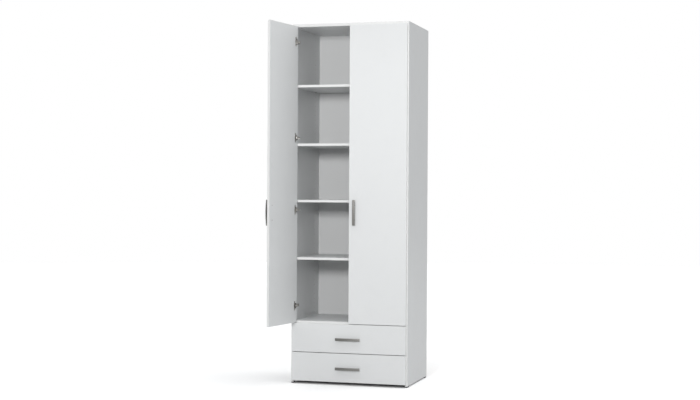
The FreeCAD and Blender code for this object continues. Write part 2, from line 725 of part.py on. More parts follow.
def hinge_plates(side):
    """Mounting plates, screwed to two holes of the front row."""
    plates, screws = [], []
    for place, height in enumerate(hinge_heights()):
        mark = "plate_%s_%d" % (side, place)
        blank = fuse(mark + "_blank", [
            box(mark + "_wings", ("plate_thickness", "plate_wing", "plate_height"),
                (across(side, "board", "plate_thickness"), "front_row - plate_wing / 2",
                 height + " - plate_height / 2")),
            box(mark + "_seat", ("plate_thickness", "plate_depth", "2 * cheek_outer"),
                (across(side, "board", "plate_thickness"), "front_row - plate_lead",
                 height + " - cheek_outer")),
        ])
        holes = []
        for shift in ("+", "-"):
            name = mark + ("_a" if shift == "+" else "_b")
            up = "%s %s hole_pitch / 2" % (height, shift)
            holes.append(rod(name + "_hole", "pin_radius + screw_slack", "plate_thickness", "x",
                             (across(side, "board", "plate_thickness"), "front_row", up)))
            shank = "plate_thickness + hole_depth - bore_spare"
            screws.append(fuse(name + "_screw", [
                rod(name + "_shank", "pin_radius", shank, "x",
                    (across(side, "board - hole_depth + bore_spare", shank), "front_row", up)),
                rod(name + "_head", "screw_head_radius", "plate_screw_head", "x",
                    (across(side, "board + plate_thickness", "plate_screw_head"), "front_row",
                     up)),
            ]))
        plates.append(cut(mark, blank, holes))
    node("hinge_plates_" + side, group("plate_set_" + side, plates))
    return screws


# ---- drawers ----------------------------------------------------------------------

ROLLER_FACE = "(board + steel + roller_side_gap)"
AXLE_REACH = "(steel + roller_side_gap + roller_width + axle_end)"
REAR_ROLLER = "(%s + box_length - rear_roller_inset)" % INNER_FACE
BOX_OUTSIDE = "(board + runner_gap)"


def front_roller_height(drawer):
    return "(%s - steel - rolling_gap - roller_radius)" % runner_foot(drawer)


def rear_roller_height(drawer):
    return "(%s - runner_wall + steel + rolling_gap + roller_radius)" % runner_foot(drawer)


def cabinet_runners():
    """Channels on the sides; the top flange stops short of the roller at the front."""
    channels, screws = [], []
    for drawer in DRAWER_FOOT:
        foot = runner_foot(drawer)
        low = "(%s - runner_wall)" % foot
        high = "(%s - steel - channel_gap)" % foot
        for side in SIDES:
            mark = "channel_%s_%s" % (drawer, side)
            blank = fuse(mark + "_blank", [
                box(mark + "_web", ("steel", "box_length", high + " - " + low),
                    (across(side, "board", "steel"), "runner_setback", low)),
                box(mark + "_lower_flange", ("flange", "box_length", "steel"),
                    (across(side, "board", "flange"), "runner_setback", low)),
                box(mark + "_upper_flange",
                    ("flange", "box_length + runner_setback - upper_flange_start", "steel"),
                    (across(side, "board", "flange"), "upper_flange_start", high + " - steel")),
                rod(mark + "_axle", "axle_radius", AXLE_REACH, "x",
                    (across(side, "board", AXLE_REACH), "runner_setback + front_roller_inset",
                     front_roller_height(drawer))),
            ])
            holes = []
            for place, row in enumerate(RUNNER_SCREW_ROWS):
                at = (row, runner_screw_height(drawer))
                holes.append(rod("%s_hole_%d" % (mark, place), "runner_screw_radius + screw_slack",
                                 "steel", "x", (across(side, "board", "steel"), *at)))
                sunk = "board + steel - runner_screw_length"
                screws.append(rod("%s_screw_%d" % (mark, place), "runner_screw_radius",
                                  "runner_screw_length", "x",
                                  (across(side, sunk, "runner_screw_length"), *at)))
            channels.append(cut(mark, blank, holes))
    node("cabinet_runners", group("channel_set", channels))
    node("runner_screws", group("runner_screw_set", screws))


def roller_pair(label, row, height):
    rollers = []
    for side in SIDES:
        mark = "%s_%s" % (label, side)
        face = across(side, ROLLER_FACE, "roller_width")
        rollers.append(cut(mark, rod(mark + "_tyre", "roller_radius", "roller_width", "x",
                                     (face, row, height)),
                           [rod(mark + "_bore", "axle_radius + axle_slack", "roller_width", "x",
                                (face, row, height))]))
    node(label, group(label + "_pair", rollers))


def drawer_box(drawer):
    foot = runner_foot(drawer)
    inside = "(width - 2 * (%s + box_board))" % BOX_OUTSIDE
    bottom = "(%s + bottom_rise)" % foot
    front_foot = DRAWER_FOOT[drawer]
    middle = "(%s + %s - drawer_handle_drop)" % (front_foot, FRONT_HEIGHT)
    posts = ("width / 2 + handle_spacing / 2", "width / 2 - handle_spacing / 2")
    node("drawer_front_" + drawer, cut(
        "front_bored_" + drawer,
        box("front_board_" + drawer, (FRONT_WIDTH, "door_board", FRONT_HEIGHT),
            ("side_reveal", "-front_gap - door_board", front_foot)),
        [rod("front_bore_%s_%d" % (drawer, place), "screw_radius + through_slack", "door_board",
             "y", (x, "-front_gap - door_board", middle)) for place, x in enumerate(posts)]))
    groove_start = "%s + box_board - bottom_groove" % BOX_OUTSIDE
    for side in SIDES:
        node("drawer_side_%s_%s" % (drawer, side), cut(
            "box_side_%s_%s" % (drawer, side),
            box("box_board_%s_%s" % (drawer, side), ("box_board", "box_length", "box_height"),
                (across(side, BOX_OUTSIDE, "box_board"), INNER_FACE, foot)),
            [box("box_groove_%s_%s" % (drawer, side),
                 ("bottom_groove", "box_length", "bottom_board"),
                 (across(side, groove_start, "bottom_groove"), INNER_FACE, bottom))]))
    node("drawer_back_" + drawer, box(
        "box_back_" + drawer,
        (inside, "box_board", "box_height - bottom_rise - bottom_board"),
        ("%s + box_board" % BOX_OUTSIDE, "%s + box_length - box_board" % INNER_FACE,
         bottom + " + bottom_board")))
    node("drawer_bottom_" + drawer, box(
        "box_bottom_" + drawer,
        ("%s + 2 * (bottom_groove - bottom_play)" % inside, "box_length", "bottom_board"),
        (groove_start + " + bottom_play", INNER_FACE, bottom)))
    handle("handle_drawer_" + drawer, False,
           ("width / 2", "-front_gap - door_board", middle))
    handle_screws("handle_screws_drawer_" + drawer, [(x, middle) for x in posts],
                  INNER_FACE, "door_board")
    brackets, rails = [], []
    for side in SIDES:
        wall = "%s + box_board + bracket_gap" % BOX_OUTSIDE
        for end in ("front", "rear"):
            mark = "bracket_%s_%s_%s" % (drawer, side, end)
            face = (INNER_FACE + " + bracket_gap" if end == "front" else
                    "%s + box_length - box_board - bracket_gap - bracket_leg" % INNER_FACE)
            plate = (face if end == "front" else face + " + bracket_leg - bracket_steel")
            up = bottom + " + bottom_board + bracket_rise"
            brackets.append(fuse(mark, [
                box(mark + "_side", ("bracket_steel", "bracket_leg", "bracket_height"),
                    (across(side, wall, "bracket_steel"), face, up)),
                box(mark + "_end", ("bracket_leg", "bracket_steel", "bracket_height"),
                    (across(side, wall, "bracket_leg"), plate, up)),
            ]))
        mark = "rail_%s_%s" % (drawer, side)
        outer = "(%s - steel)" % BOX_OUTSIDE
        flange_foot = foot + " - steel"
        reach = "(%s - %s + axle_end)" % (outer, ROLLER_FACE)
        rails.append(fuse(mark, [
            box(mark + "_upright", ("steel", "box_length", "rail_height"),
                (across(side, outer, "steel"), INNER_FACE, flange_foot)),
            box(mark + "_under", ("box_board", "box_length", "steel"),
                (across(side, BOX_OUTSIDE, "box_board"), INNER_FACE, flange_foot)),
            box(mark + "_running", ("rail_flange", "box_length", "steel"),
                (across(side, "%s - rail_flange" % outer, "rail_flange"), INNER_FACE,
                 flange_foot)),
            box(mark + "_hanger", ("steel", "2 * rear_roller_inset", "hanger_height"),
                (across(side, outer, "steel"), REAR_ROLLER + " - rear_roller_inset",
                 flange_foot + " - hanger_height")),
            rod(mark + "_axle", "axle_radius", reach, "x",
                (across(side, "%s - axle_end" % ROLLER_FACE, reach), REAR_ROLLER,
                 rear_roller_height(drawer))),
        ]))
    node("drawer_brackets_" + drawer, group("bracket_set_" + drawer, brackets))
    node("drawer_rails_" + drawer, group("rail_set_" + drawer, rails))
    roller_pair("cabinet_rollers_" + drawer, "runner_setback + front_roller_inset",
                front_roller_height(drawer))
    roller_pair("drawer_rollers_" + drawer, REAR_ROLLER, rear_roller_height(drawer))


# ---- assembly ---------------------------------------------------------------------

def build():
    for label in FIXED_PANELS:
        fixed_panel(label)
    fittings()
    backs()
    loose_shelves()
    glides()
    screws = []
    for side in SIDES:
        side_panel(side)
        door(side)
        hinge_cups(side)
        hinge_links(side, "outer", OUTER_LINK, OUTER_LINK_TURN, "link_split", "0")
        hinge_links(side, "inner", INNER_LINK, INNER_LINK_TURN, "-link_half", "open_pivot_slack")
        hinge_arms(side)
        screws += hinge_plates(side)
    node("hinge_plate_screws", group("plate_screw_set", screws))
    cabinet_runners()
    for drawer in DRAWER_FOOT:
        drawer_box(drawer)
    doc.recompute()


def check():
    for item in doc.Objects:
        if "Invalid" in item.State or "Error" in item.State:
            raise RuntimeError("%s did not build: %s" % (item.Label, item.State))
    for label, piece in nodes.items():
        if piece.Shape.isNull() or not piece.Shape.isValid() or piece.Shape.Volume <= 0:
            raise RuntimeError("%s has no sound solid" % label)


def export():
    os.makedirs("parts", exist_ok=True)
    for label, piece in nodes.items():
        piece.Shape.exportStep("parts/%s.step" % label)
    print(len(nodes), "nodes,", sum(len(piece.Shape.Solids) for piece in nodes.values()), "solids")


build()
check()
export()
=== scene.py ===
"""Finish for a two-door wardrobe with two drawers: boards, fittings, materials and a studio."""
import json
import math

import bmesh
import bpy
import numpy as np
from bpy.props import FloatProperty, FloatVectorProperty, PointerProperty
from bpy.types import Operator, Panel, PropertyGroup
from mathutils import Matrix, Vector


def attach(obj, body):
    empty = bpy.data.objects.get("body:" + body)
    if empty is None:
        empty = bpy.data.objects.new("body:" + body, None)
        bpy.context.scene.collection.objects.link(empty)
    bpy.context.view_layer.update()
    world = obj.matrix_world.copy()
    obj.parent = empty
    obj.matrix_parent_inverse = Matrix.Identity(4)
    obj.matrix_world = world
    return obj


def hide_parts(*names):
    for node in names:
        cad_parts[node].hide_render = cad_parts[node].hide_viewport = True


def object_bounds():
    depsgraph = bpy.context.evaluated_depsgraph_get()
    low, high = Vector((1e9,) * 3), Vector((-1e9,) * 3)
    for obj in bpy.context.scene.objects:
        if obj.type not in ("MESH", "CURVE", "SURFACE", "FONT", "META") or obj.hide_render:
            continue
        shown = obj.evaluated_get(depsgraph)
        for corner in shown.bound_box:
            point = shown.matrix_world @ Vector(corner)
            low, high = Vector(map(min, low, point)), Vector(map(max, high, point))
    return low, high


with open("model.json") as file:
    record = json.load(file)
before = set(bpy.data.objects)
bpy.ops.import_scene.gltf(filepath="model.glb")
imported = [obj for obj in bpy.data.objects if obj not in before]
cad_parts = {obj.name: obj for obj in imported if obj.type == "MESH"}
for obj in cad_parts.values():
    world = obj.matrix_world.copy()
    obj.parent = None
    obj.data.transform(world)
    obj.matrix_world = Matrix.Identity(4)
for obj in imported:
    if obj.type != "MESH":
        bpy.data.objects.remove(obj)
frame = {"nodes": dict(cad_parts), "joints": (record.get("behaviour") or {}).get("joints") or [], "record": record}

bl_info = {
    "name": "Wardrobe finish",
    "version": (1, 0, 0),
    "blender": (4, 5, 0),
    "location": "3D View > Sidebar > Wardrobe",
    "description": "Rounds the boards, makes the fittings and finishes them",
    "category": "Object",
}

CAD_BOX = [[float(value) for value in corner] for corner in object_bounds()]
NODES = frame["nodes"]
JOINTS = {joint["name"]: joint for joint in frame["joints"]}
BODY_OF = {
    node: body
    for body, members in frame["record"]["behaviour"]["bodies"].items()
    for node in members
}
OPEN_DOOR = "door_left"
SIDES = ("left", "right")
DRAWERS = ("upper", "lower")
HANDLED = ("door_left", "door_right", "drawer_upper", "drawer_lower")
MILLIMETRE = 0.001
SHARP = math.radians(35)
FAR = 10.0  # a half size that no board reaches, for an edge that has no band
MERGED_WITHIN, SHORTEST_EDGE = 1e-6, 1e-7  # metres, when a mesh is cleaned

# A cross recess, in shares of its screw head's radius.
RECESS_REACH = 0.62
RECESS_TIP = 0.12
RECESS_HALF_WIDTH = 0.17
RECESS_WALL = 0.07
RECESS_DEPTH = 0.45
HEAD_RIM = 0.12

# A screw's head inside its rim, and its shank, as shares of the widest radius.
HEAD_SHARE = 0.95
SHANK_SHARE = 0.5

# A handle's posts and its bar's ends.
POST_RADIUS = 5 * MILLIMETRE
END_FLATNESS = 0.8

# Where a shelf pin's groove lies along it, and how far in, as shares of length and radius.
PIN_GROOVE = 0.56
PIN_GROOVE_DEPTH = 0.82

# The studio: where the camera and the lights stand and look, in metres and degrees.
CAMERA_PLACE = (2.907493, -8.629898, 1.271297)
CAMERA_TURN = (16.181, -0.278, 0.312)
KEY_PLACE, KEY_AIM, KEY_SIZE = (0.9, -7.0, 2.4), (0.4, 0, 2.2), 0.9
TOP_PLACE, TOP_AIM, TOP_SIZE = (0.4, -1.2, 5.6), (0.4, 0.2, 0), 4.5
SKY_COLOUR = (0.985, 0.993, 1.0, 1)
DIMMEST_SKY = 0.03
FLOOR_RETURN = 0.5  # share of its brightness that the floor throws back at the wardrobe


# ---------------------------------------------------------------- places

def turned_about(joint, angle):
    """A turn by an angle about a joint's own axis."""
    pivot = Matrix.Translation(joint["pos_m"])
    return pivot @ Matrix.Rotation(angle, 4, Vector(joint["axis"])) @ pivot.inverted()


def shutting_the_open_door():
    """Carries the open door shut: turned back on its links, as they turn back on the carcass."""
    door = JOINTS["door_swing_left"]
    couplings = frame["record"]["behaviour"]["couplings"]
    ratio = next(c["ratio"] for c in couplings if c["joint"] == "outer_link_swing_left")
    shut = math.radians(door["range_deg"][0])
    return turned_about(JOINTS["outer_link_swing_left"], shut * ratio) @ turned_about(door, shut)


SHUT = shutting_the_open_door()


def shut_matrix(node):
    """How a node's points move when its door is shut; nothing moves on the other bodies."""
    return SHUT if BODY_OF[node] == OPEN_DOOR else Matrix.Identity(4)


def carried(points, matrix):
    """Points of any grid shape, carried by a matrix."""
    turn = np.array(matrix.to_3x3())
    return points @ turn.T + np.array(matrix.translation)


def points_of(node):
    """A node's points with its door shut."""
    mesh = NODES[node].data
    flat = np.empty(len(mesh.vertices) * 3)
    mesh.vertices.foreach_get("co", flat)
    return carried(flat.reshape(-1, 3), shut_matrix(node))


def box_of(node):
    """Lowest and highest corner of a node with its door shut."""
    points = points_of(node)
    return points.min(axis=0), points.max(axis=0)


def solids_of(node):
    """The box of each separate solid of a node, with its door shut, lowest first.

    Every corner takes the smallest label among the triangles that it belongs to,
    over and over, until each solid has one label.
    """
    mesh = NODES[node].data
    corners = np.empty(len(mesh.loops), dtype=np.int64)
    mesh.loops.foreach_get("vertex_index", corners)
    spots, place = np.unique(np.round(points_of(node), 6), axis=0, return_inverse=True)
    triangles = place.ravel()[corners].reshape(-1, 3)
    label = np.arange(len(spots))
    settled = False
    while not settled:
        lower = label.copy()
        np.minimum.at(lower, triangles.ravel(), np.repeat(label[triangles].min(axis=1), 3))
        lower = lower[lower]
        settled = bool((lower == label).all())
        label = lower
    boxes = [(spots[label == one].min(axis=0), spots[label == one].max(axis=0))
             for one in np.unique(label)]
    return sorted(boxes, key=lambda box: tuple(box[0][::-1]))


# ---------------------------------------------------------------- surfaces

def rounded_block(low, high, radius, steps=3):
    """A block with all its edges rounded.

    A direction over a sphere, times the radius, is added to that corner of the
    shrunken block which lies the same way; the first and last rows close the faces.
    """
    low, high = np.asarray(low), np.asarray(high)
    middle, half = (low + high) / 2, (high - low) / 2 - radius
    quarter = np.linspace(0, math.pi / 2, steps + 1)
    turn = np.concatenate([quarter + place * math.pi / 2 for place in range(4)])
    rise = np.concatenate([-quarter[::-1], quarter])
    side_x = np.repeat([1, -1, -1, 1], steps + 1)
    side_y = np.repeat([1, 1, -1, -1], steps + 1)
    side_z = np.repeat([-1, 1], steps + 1)
    x = half[0] * side_x + radius * np.cos(rise)[:, None] * np.cos(turn)
    y = half[1] * side_y + radius * np.cos(rise)[:, None] * np.sin(turn)
    z = (half[2] * side_z + radius * np.sin(rise))[:, None] + 0 * turn
    rows = np.stack([x, y, z], axis=-1)
    cap = np.zeros((1, len(turn), 3))
    cap[..., 2] = half[2] + radius
    return np.concatenate([-cap, rows, cap]) + middle


def square_to(axis):
    """Two directions square to an axis and to each other."""
    axis = np.asarray(axis, float)
    helper = np.array([0.0, 0.0, 1.0]) if abs(axis[2]) < 0.9 else np.array([1.0, 0.0, 0.0])
    first = np.cross(axis, helper)
    first /= np.linalg.norm(first)
    return first, np.cross(axis, first)


def turned_part(profile, centre, axis, columns=32):
    """A turned part: each profile point (distance along the axis, radius) swept round the axis."""
    profile = np.asarray(profile, float)
    first, second = square_to(axis)
    angle = np.linspace(0, 2 * math.pi, columns, endpoint=False)
    ring = np.cos(angle)[:, None] * first + np.sin(angle)[:, None] * second
    along = profile[:, 0, None, None] * np.asarray(axis, float)
    return np.asarray(centre) + along + profile[:, 1, None, None] * ring


def cross_head(centre, axis, radius, dome, shank, length, columns=48):
    """A screw or a cam seen from its driving end, with a cross recess.

    Over a polar grid the height is a dome, dome * (1 - (r / radius) ** 2), less the
    recess, which is full depth where the distance to either arm's line is under half
    the arm's width and fades to nothing at its walls and its tip. Rows for the rim and
    the shank follow, drawn in to a point.
    """
    first, second = square_to(axis)
    angle = np.linspace(0, 2 * math.pi, columns, endpoint=False)
    reach = radius * np.concatenate([np.linspace(0, RECESS_REACH, 15), np.linspace(0.68, 1, 6)])
    reach, angle = reach[:, None], angle[None, :]
    across = np.minimum(np.abs(reach * np.cos(angle)), np.abs(reach * np.sin(angle)))
    arm = np.clip((RECESS_HALF_WIDTH * radius - across) / (RECESS_WALL * radius), 0, 1)
    tip = np.clip((RECESS_REACH * radius - reach) / (RECESS_TIP * radius), 0, 1)
    height = dome * (1 - (reach / radius) ** 2) - RECESS_DEPTH * radius * arm * tip
    rows = (np.asarray(centre)
            + height[..., None] * np.asarray(axis, float)
            + (reach * np.cos(angle))[..., None] * first
            + (reach * np.sin(angle))[..., None] * second)
    edge = HEAD_RIM * radius
    tail = turned_part([(-0.3 * edge, radius + 0.3 * edge), (-1.2 * edge, radius + 0.3 * edge),
                        (-2.0 * edge, radius * 0.9), (-2.2 * edge, shank),
                        (-length + shank, shank), (-length, 0)], centre, axis, columns)
    return np.concatenate([rows, tail])


def rounded_section(width, thickness, radius, steps=4):
    """Outline of a flat bar: a rectangle whose corners are quarter circles."""
    quarter = np.linspace(0, math.pi / 2, steps + 1)
    angle = np.concatenate([quarter + place * math.pi / 2 for place in range(4)])
    side = np.array([[1, 1], [-1, 1], [-1, -1], [1, -1]]).repeat(steps + 1, axis=0)
    return (side * (np.array([width, thickness]) / 2 - radius)
            + radius * np.stack([np.cos(angle), np.sin(angle)], axis=-1))


def bowed_bar(middle, along, outward, length, width, thickness, bow, rounding):
    """A flat bar carried along a shallow bow, its ends drawn in to a round.

    At distance s from the middle the bar stands bow * (1 - (2 s / length) ** 2) further
    out than its ends do. Near an end the section shrinks by what a quarter circle
    leaves, in its width and, by END_FLATNESS of that, in its thickness.
    """
    end = np.linspace(0, math.pi / 2, 6)
    inner = np.linspace(-length / 2 + rounding, length / 2 - rounding, 41)
    run = np.concatenate([-length / 2 + rounding * (1 - np.cos(end[:-1])), inner,
                          (length / 2 - rounding * (1 - np.cos(end[:-1])))[::-1]])
    gap = np.clip((length / 2 - np.abs(run)) / rounding, 0, 1)
    draw_in = rounding * (1 - np.sqrt(1 - (1 - gap) ** 2))
    section = rounded_section(width, thickness, rounding)
    size = np.array([width, thickness]) / 2
    shrink = 1 - draw_in[:, None] / size * [1, END_FLATNESS]
    shape = section[None] * shrink[:, None, :]
    side = np.cross(outward, along)
    out = bow * (1 - (2 * run / length) ** 2)
    rows = (np.asarray(middle)
            + run[:, None, None] * np.asarray(along, float)
            + shape[..., :1] * side
            + (shape[..., 1:] + out[:, None, None]) * np.asarray(outward, float))
    ends = rows[[0, -1]].mean(axis=1, keepdims=True).repeat(len(section), axis=1)
    return np.concatenate([ends[:1], rows, ends[1:]])


# ---------------------------------------------------------------- pieces

def mesh_of(name, grids):
    """One mesh from closed grids: each row joins the next, and each row's end joins its start."""
    spots, faces, start = [], [], 0
    for grid in grids:
        rows, columns = grid.shape[:2]
        index = start + np.arange(rows * columns).reshape(rows, columns)
        following = np.roll(index, -1, axis=1)
        faces.append(np.stack([index[:-1], following[:-1], following[1:], index[1:]],
                              axis=-1).reshape(-1, 4))
        spots.append(grid.reshape(-1, 3))
        start += rows * columns
    mesh = bpy.data.meshes.new(name)
    mesh.from_pydata(np.concatenate(spots).tolist(), [], np.concatenate(faces).tolist())
    return mesh


def cleaned(mesh, edge=0.0, shortest=0.0):
    """Merges what meets, rounds its sharp edges, turns faces outwards and shades smoothly.

    Only edges longer than the shortest are rounded, so the rim of a drilled hole stays crisp.
    """
    shell = bmesh.new()
    shell.from_mesh(mesh)
    bmesh.ops.remove_doubles(shell, verts=shell.verts, dist=MERGED_WITHIN)
    bmesh.ops.dissolve_degenerate(shell, dist=SHORTEST_EDGE, edges=shell.edges)
    bmesh.ops.recalc_face_normals(shell, faces=shell.faces)
    if edge:
        sharp = [one for one in shell.edges
                 if one.calc_face_angle(0) > SHARP and one.calc_length() > shortest]
        bmesh.ops.bevel(shell, geom=sharp, offset=edge, offset_type="OFFSET", segments=3,
                        profile=0.5, affect="EDGES", clamp_overlap=False)
    shell.to_mesh(mesh)
    shell.free()
    if "custom_normal" in mesh.attributes:
        mesh.attributes.remove(mesh.attributes["custom_normal"])
    mesh.shade_smooth()
    mesh.set_sharp_from_angle(angle=SHARP)
    return mesh


def placed(mesh, nodes, material):
    """Makes the piece that stands for one or more nodes of a body and rides with it."""
    piece = bpy.data.objects.new(mesh.name, mesh)
    bpy.context.scene.collection.objects.link(piece)
    mesh.materials.clear()
    mesh.materials.append(material)
    weights = piece.modifiers.new("flat faces stay flat", "WEIGHTED_NORMAL")
    weights.keep_sharp = True
    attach(piece, BODY_OF[nodes[0]])
    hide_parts(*nodes)
    return piece


def shaped(name, node, grids, material):
    """A piece of new surfaces, drawn with its door shut and set down where the node rests."""
    back = shut_matrix(node).inverted()
    mesh = mesh_of(name, [carried(grid, back) for grid in grids])
    return placed(cleaned(mesh), [node], material)


def softened(node, material, edge, shortest=6 * MILLIMETRE):
    """The node's own shape as one shell, with its edges rounded."""
    mesh = NODES[node].data.copy()
    mesh.name = node + "_finished"
    return placed(cleaned(mesh, edge, shortest), [node], material)


# ---------------------------------------------------------------- shader helpers

def feed(tree, socket, value):
    """Gives an input socket a value, or another node's output."""
    if isinstance(value, bpy.types.NodeSocket):
        tree.links.new(value, socket)
    else:
        socket.default_value = value


def add(tree, kind, inputs=None, **settings):
    """Adds a shader node with its settings and what its inputs are fed."""
    node = tree.nodes.new(kind)
    for key, value in settings.items():
        setattr(node, key, value)
    for key, value in (inputs or {}).items():
        feed(tree, node.inputs[key], value)
    return node


def maths(tree, operation, *values):
    """The output of a maths node."""
    return add(tree, "ShaderNodeMath", dict(enumerate(values)), operation=operation).outputs[0]


def plus(tree, base, mask, amount):
    """A base with an amount added where a mask says so."""
    return maths(tree, "MULTIPLY_ADD", mask, amount, base)


def vector_maths(tree, operation, *values):
    """The output of a vector maths node."""
    return add(tree, "ShaderNodeVectorMath", dict(enumerate(values)),
               operation=operation).outputs[0]


def dimmed(tree, colour, share):
    """A colour times a share."""
    return add(tree, "ShaderNodeVectorMath", {0: colour, 3: share}, operation="SCALE").outputs[0]


def ramped(tree, value, low, high, to_low=0.0, to_high=1.0):
    """A value taken smoothly from one range to another and held at both ends."""
    return add(tree, "ShaderNodeMapRange",
               {"Value": value, "From Min": low, "From Max": high,
                "To Min": to_low, "To Max": to_high},
               interpolation_type="SMOOTHSTEP").outputs["Result"]


def mixed(tree, share, first, second):
    """Two colours mixed by a share."""
    node = add(tree, "ShaderNodeMix", data_type="RGBA")
    for key, value in (("Factor_Float", share), ("A_Color", first), ("B_Color", second)):
        feed(tree, next(s for s in node.inputs if s.identifier == key), value)
    return next(s for s in node.outputs if s.identifier == "Result_Color")


def noise(tree, vector, scale, detail=3.0, roughness=0.55):
    """Even noise from 0 to 1 at a number of features a metre."""
    return add(tree, "ShaderNodeTexNoise",
               {"Vector": vector, "Scale": scale, "Detail": detail,
                "Roughness": roughness}).outputs["Fac"]


SOCKETS = {"vector": "NodeSocketVector", "float": "NodeSocketFloat", "color": "NodeSocketColor"}


def new_group(name, inputs, outputs):
    """An empty shader group; returns its tree, its inputs and its output node."""
    tree = bpy.data.node_groups.new(name, "ShaderNodeTree")
    for label, kind, default in inputs:
        socket = tree.interface.new_socket(name=label, in_out="INPUT", socket_type=SOCKETS[kind])
        socket.default_value = default
    for label, kind in outputs:
        tree.interface.new_socket(name=label, in_out="OUTPUT", socket_type=SOCKETS[kind])
    entry = tree.nodes.new("NodeGroupInput")
    return tree, entry.outputs, tree.nodes.new("NodeGroupOutput")


def finish_group(tree, leaving, **outputs):
    """Joins a group's results to its output sockets."""
    for label, value in outputs.items():
        tree.links.new(value, leaving.inputs[label])
    return tree


def foil_grain():
    """Fine pores of printed foil, slow shading over a board and soft marks of handling."""
    tree, given, leaving = new_group(
        "foil_grain",
        [("Vector", "vector", (0, 0, 0)), ("Pores", "float", 900.0), ("Shading", "float", 0.02)],
        [("Height", "float"), ("Shade", "float"), ("Marks", "float")])
    vector = given["Vector"]
    pores = noise(tree, vector, given["Pores"], 2.0)
    swell = noise(tree, vector, 70.0, 2.0)
    height = plus(tree, pores, swell, 1.5)
    slow = noise(tree, vector, 2.3, 2.0)
    shade = maths(tree, "SUBTRACT", 1.0, maths(tree, "MULTIPLY", slow, given["Shading"]))
    marks = ramped(tree, noise(tree, vector, 11.0, 5.0, 0.65), 0.45, 0.8)
    return finish_group(tree, leaving, Height=height, Shade=shade, Marks=marks)


def board_masks():
    """Where a board is edge band, where the band's joint shows and where its core is bare.

    The distance to an edge is the half size less the point's distance from the middle,
    taken along each axis; the smallest of the three counts.
    """
    tree, given, leaving = new_group(
        "board_masks",
        [("Vector", "vector", (0, 0, 0)), ("Banded half", "vector", (FAR, FAR, FAR)),
         ("Core half", "vector", (0, 0, 0)), ("Core middle", "vector", (0, 0, 0)),
         ("Band", "float", 0.0008)],
        [("Band", "float"), ("Joint", "float"), ("Core", "float")])

    def nearest_edge(vector, half):
        gap = vector_maths(tree, "SUBTRACT", half, vector_maths(tree, "ABSOLUTE", vector))
        parts = add(tree, "ShaderNodeSeparateXYZ", {0: gap}).outputs
        return maths(tree, "MINIMUM", maths(tree, "MINIMUM", parts[0], parts[1]), parts[2])

    gap = nearest_edge(given["Vector"], given["Banded half"])
    past = maths(tree, "SUBTRACT", gap, given["Band"])
    band = ramped(tree, past, 0.00003, -0.00003)
    joint = ramped(tree, maths(tree, "ABSOLUTE", past), 0.00016, 0.0)
    inside = nearest_edge(vector_maths(tree, "SUBTRACT", given["Vector"], given["Core middle"]),
                          given["Core half"])
    core = ramped(tree, inside, 0.0, 0.00005)
    return finish_group(tree, leaving, Band=band, Joint=joint, Core=core)


def chipboard():
    """Pressed wood chips: cells of chip colours with dark gaps and fine fibre; the chip colours are the core's
    brown darkened with painted shade, so that drilled holes look shaded.
    """
    tree, given, leaving = new_group(
        "chipboard",
        [("Vector", "vector", (0, 0, 0)), ("Chips", "float", 420.0),
         # Chip colours: the core's brown, darkened with painted shade for the insides of drilled holes.
         ("Light chip", "color", (0.38, 0.27, 0.16, 1)),
         ("Dark chip", "color", (0.17, 0.11, 0.06, 1))],
        [("Color", "color"), ("Height", "float")])
    vector = given["Vector"]
    cells = add(tree, "ShaderNodeTexVoronoi", {"Vector": vector, "Scale": given["Chips"]},
                feature="F1")
    spread = add(tree, "ShaderNodeSeparateXYZ", {0: cells.outputs["Color"]}).outputs[0]
    fibre = noise(tree, vector, 1500.0, 3.0)
    share = maths(tree, "MULTIPLY", maths(tree, "ADD", spread, fibre), 0.5)
    colour = mixed(tree, ramped(tree, share, 0.2, 0.75), given["Dark chip"], given["Light chip"])
    return finish_group(tree, leaving, Color=colour, Height=maths(tree, "ADD", share, fibre))


def metal_grain():
    """Brush lines drawn out along one axis, with a little haze and small dark specks."""
    tree, given, leaving = new_group(
        "metal_grain",
        [("Vector", "vector", (0, 0, 0)), ("Stretch", "vector", (1, 1, 1)),
         ("Lines", "float", 1500.0), ("Haze", "float", 60.0)],
        [("Lines", "float"), ("Haze", "float"), ("Specks", "float")])
    drawn = vector_maths(tree, "MULTIPLY", given["Vector"], given["Stretch"])
    lines = noise(tree, drawn, given["Lines"], 4.0, 0.7)
    haze = noise(tree, given["Vector"], given["Haze"], 3.0)
    specks = ramped(tree, noise(tree, given["Vector"], 700.0, 1.0), 0.68, 0.8)
    return finish_group(tree, leaving, Lines=lines, Haze=haze, Specks=specks)


def moulded_skin():
    """The skin of moulded plastic or powder coat: a soft orange peel and faint scuffs."""
    tree, given, leaving = new_group(
        "moulded_skin",
        [("Vector", "vector", (0, 0, 0)), ("Peel", "float", 700.0)],
        [("Height", "float"), ("Scuffs", "float")])
    peel = noise(tree, given["Vector"], given["Peel"], 2.0)
    scuffs = ramped(tree, noise(tree, given["Vector"], 160.0, 5.0, 0.7), 0.5, 0.75)
    return finish_group(tree, leaving, Height=peel, Scuffs=scuffs)


GROUP_MAKERS = {"foil_grain": foil_grain, "board_masks": board_masks, "chipboard": chipboard,
                "metal_grain": metal_grain, "moulded_skin": moulded_skin}


def group_node(tree, name, inputs):
    """Places a shader group, built the first time that it is asked for."""
    made = bpy.data.node_groups.get(name) or GROUP_MAKERS[name]()
    return add(tree, "ShaderNodeGroup", inputs, node_tree=made).outputs


def new_material(name):
    """An empty material with its shader, its output and the object's own coordinates."""
    material = bpy.data.materials.new(name)
    material.use_nodes = True
    tree = material.node_tree
    tree.nodes.clear()
    shader = tree.nodes.new("ShaderNodeBsdfPrincipled")
    leaving = tree.nodes.new("ShaderNodeOutputMaterial")
    tree.links.new(shader.outputs["BSDF"], leaving.inputs["Surface"])
    spot = tree.nodes.new("ShaderNodeTexCoord").outputs["Object"]
    return material, tree, shader, spot


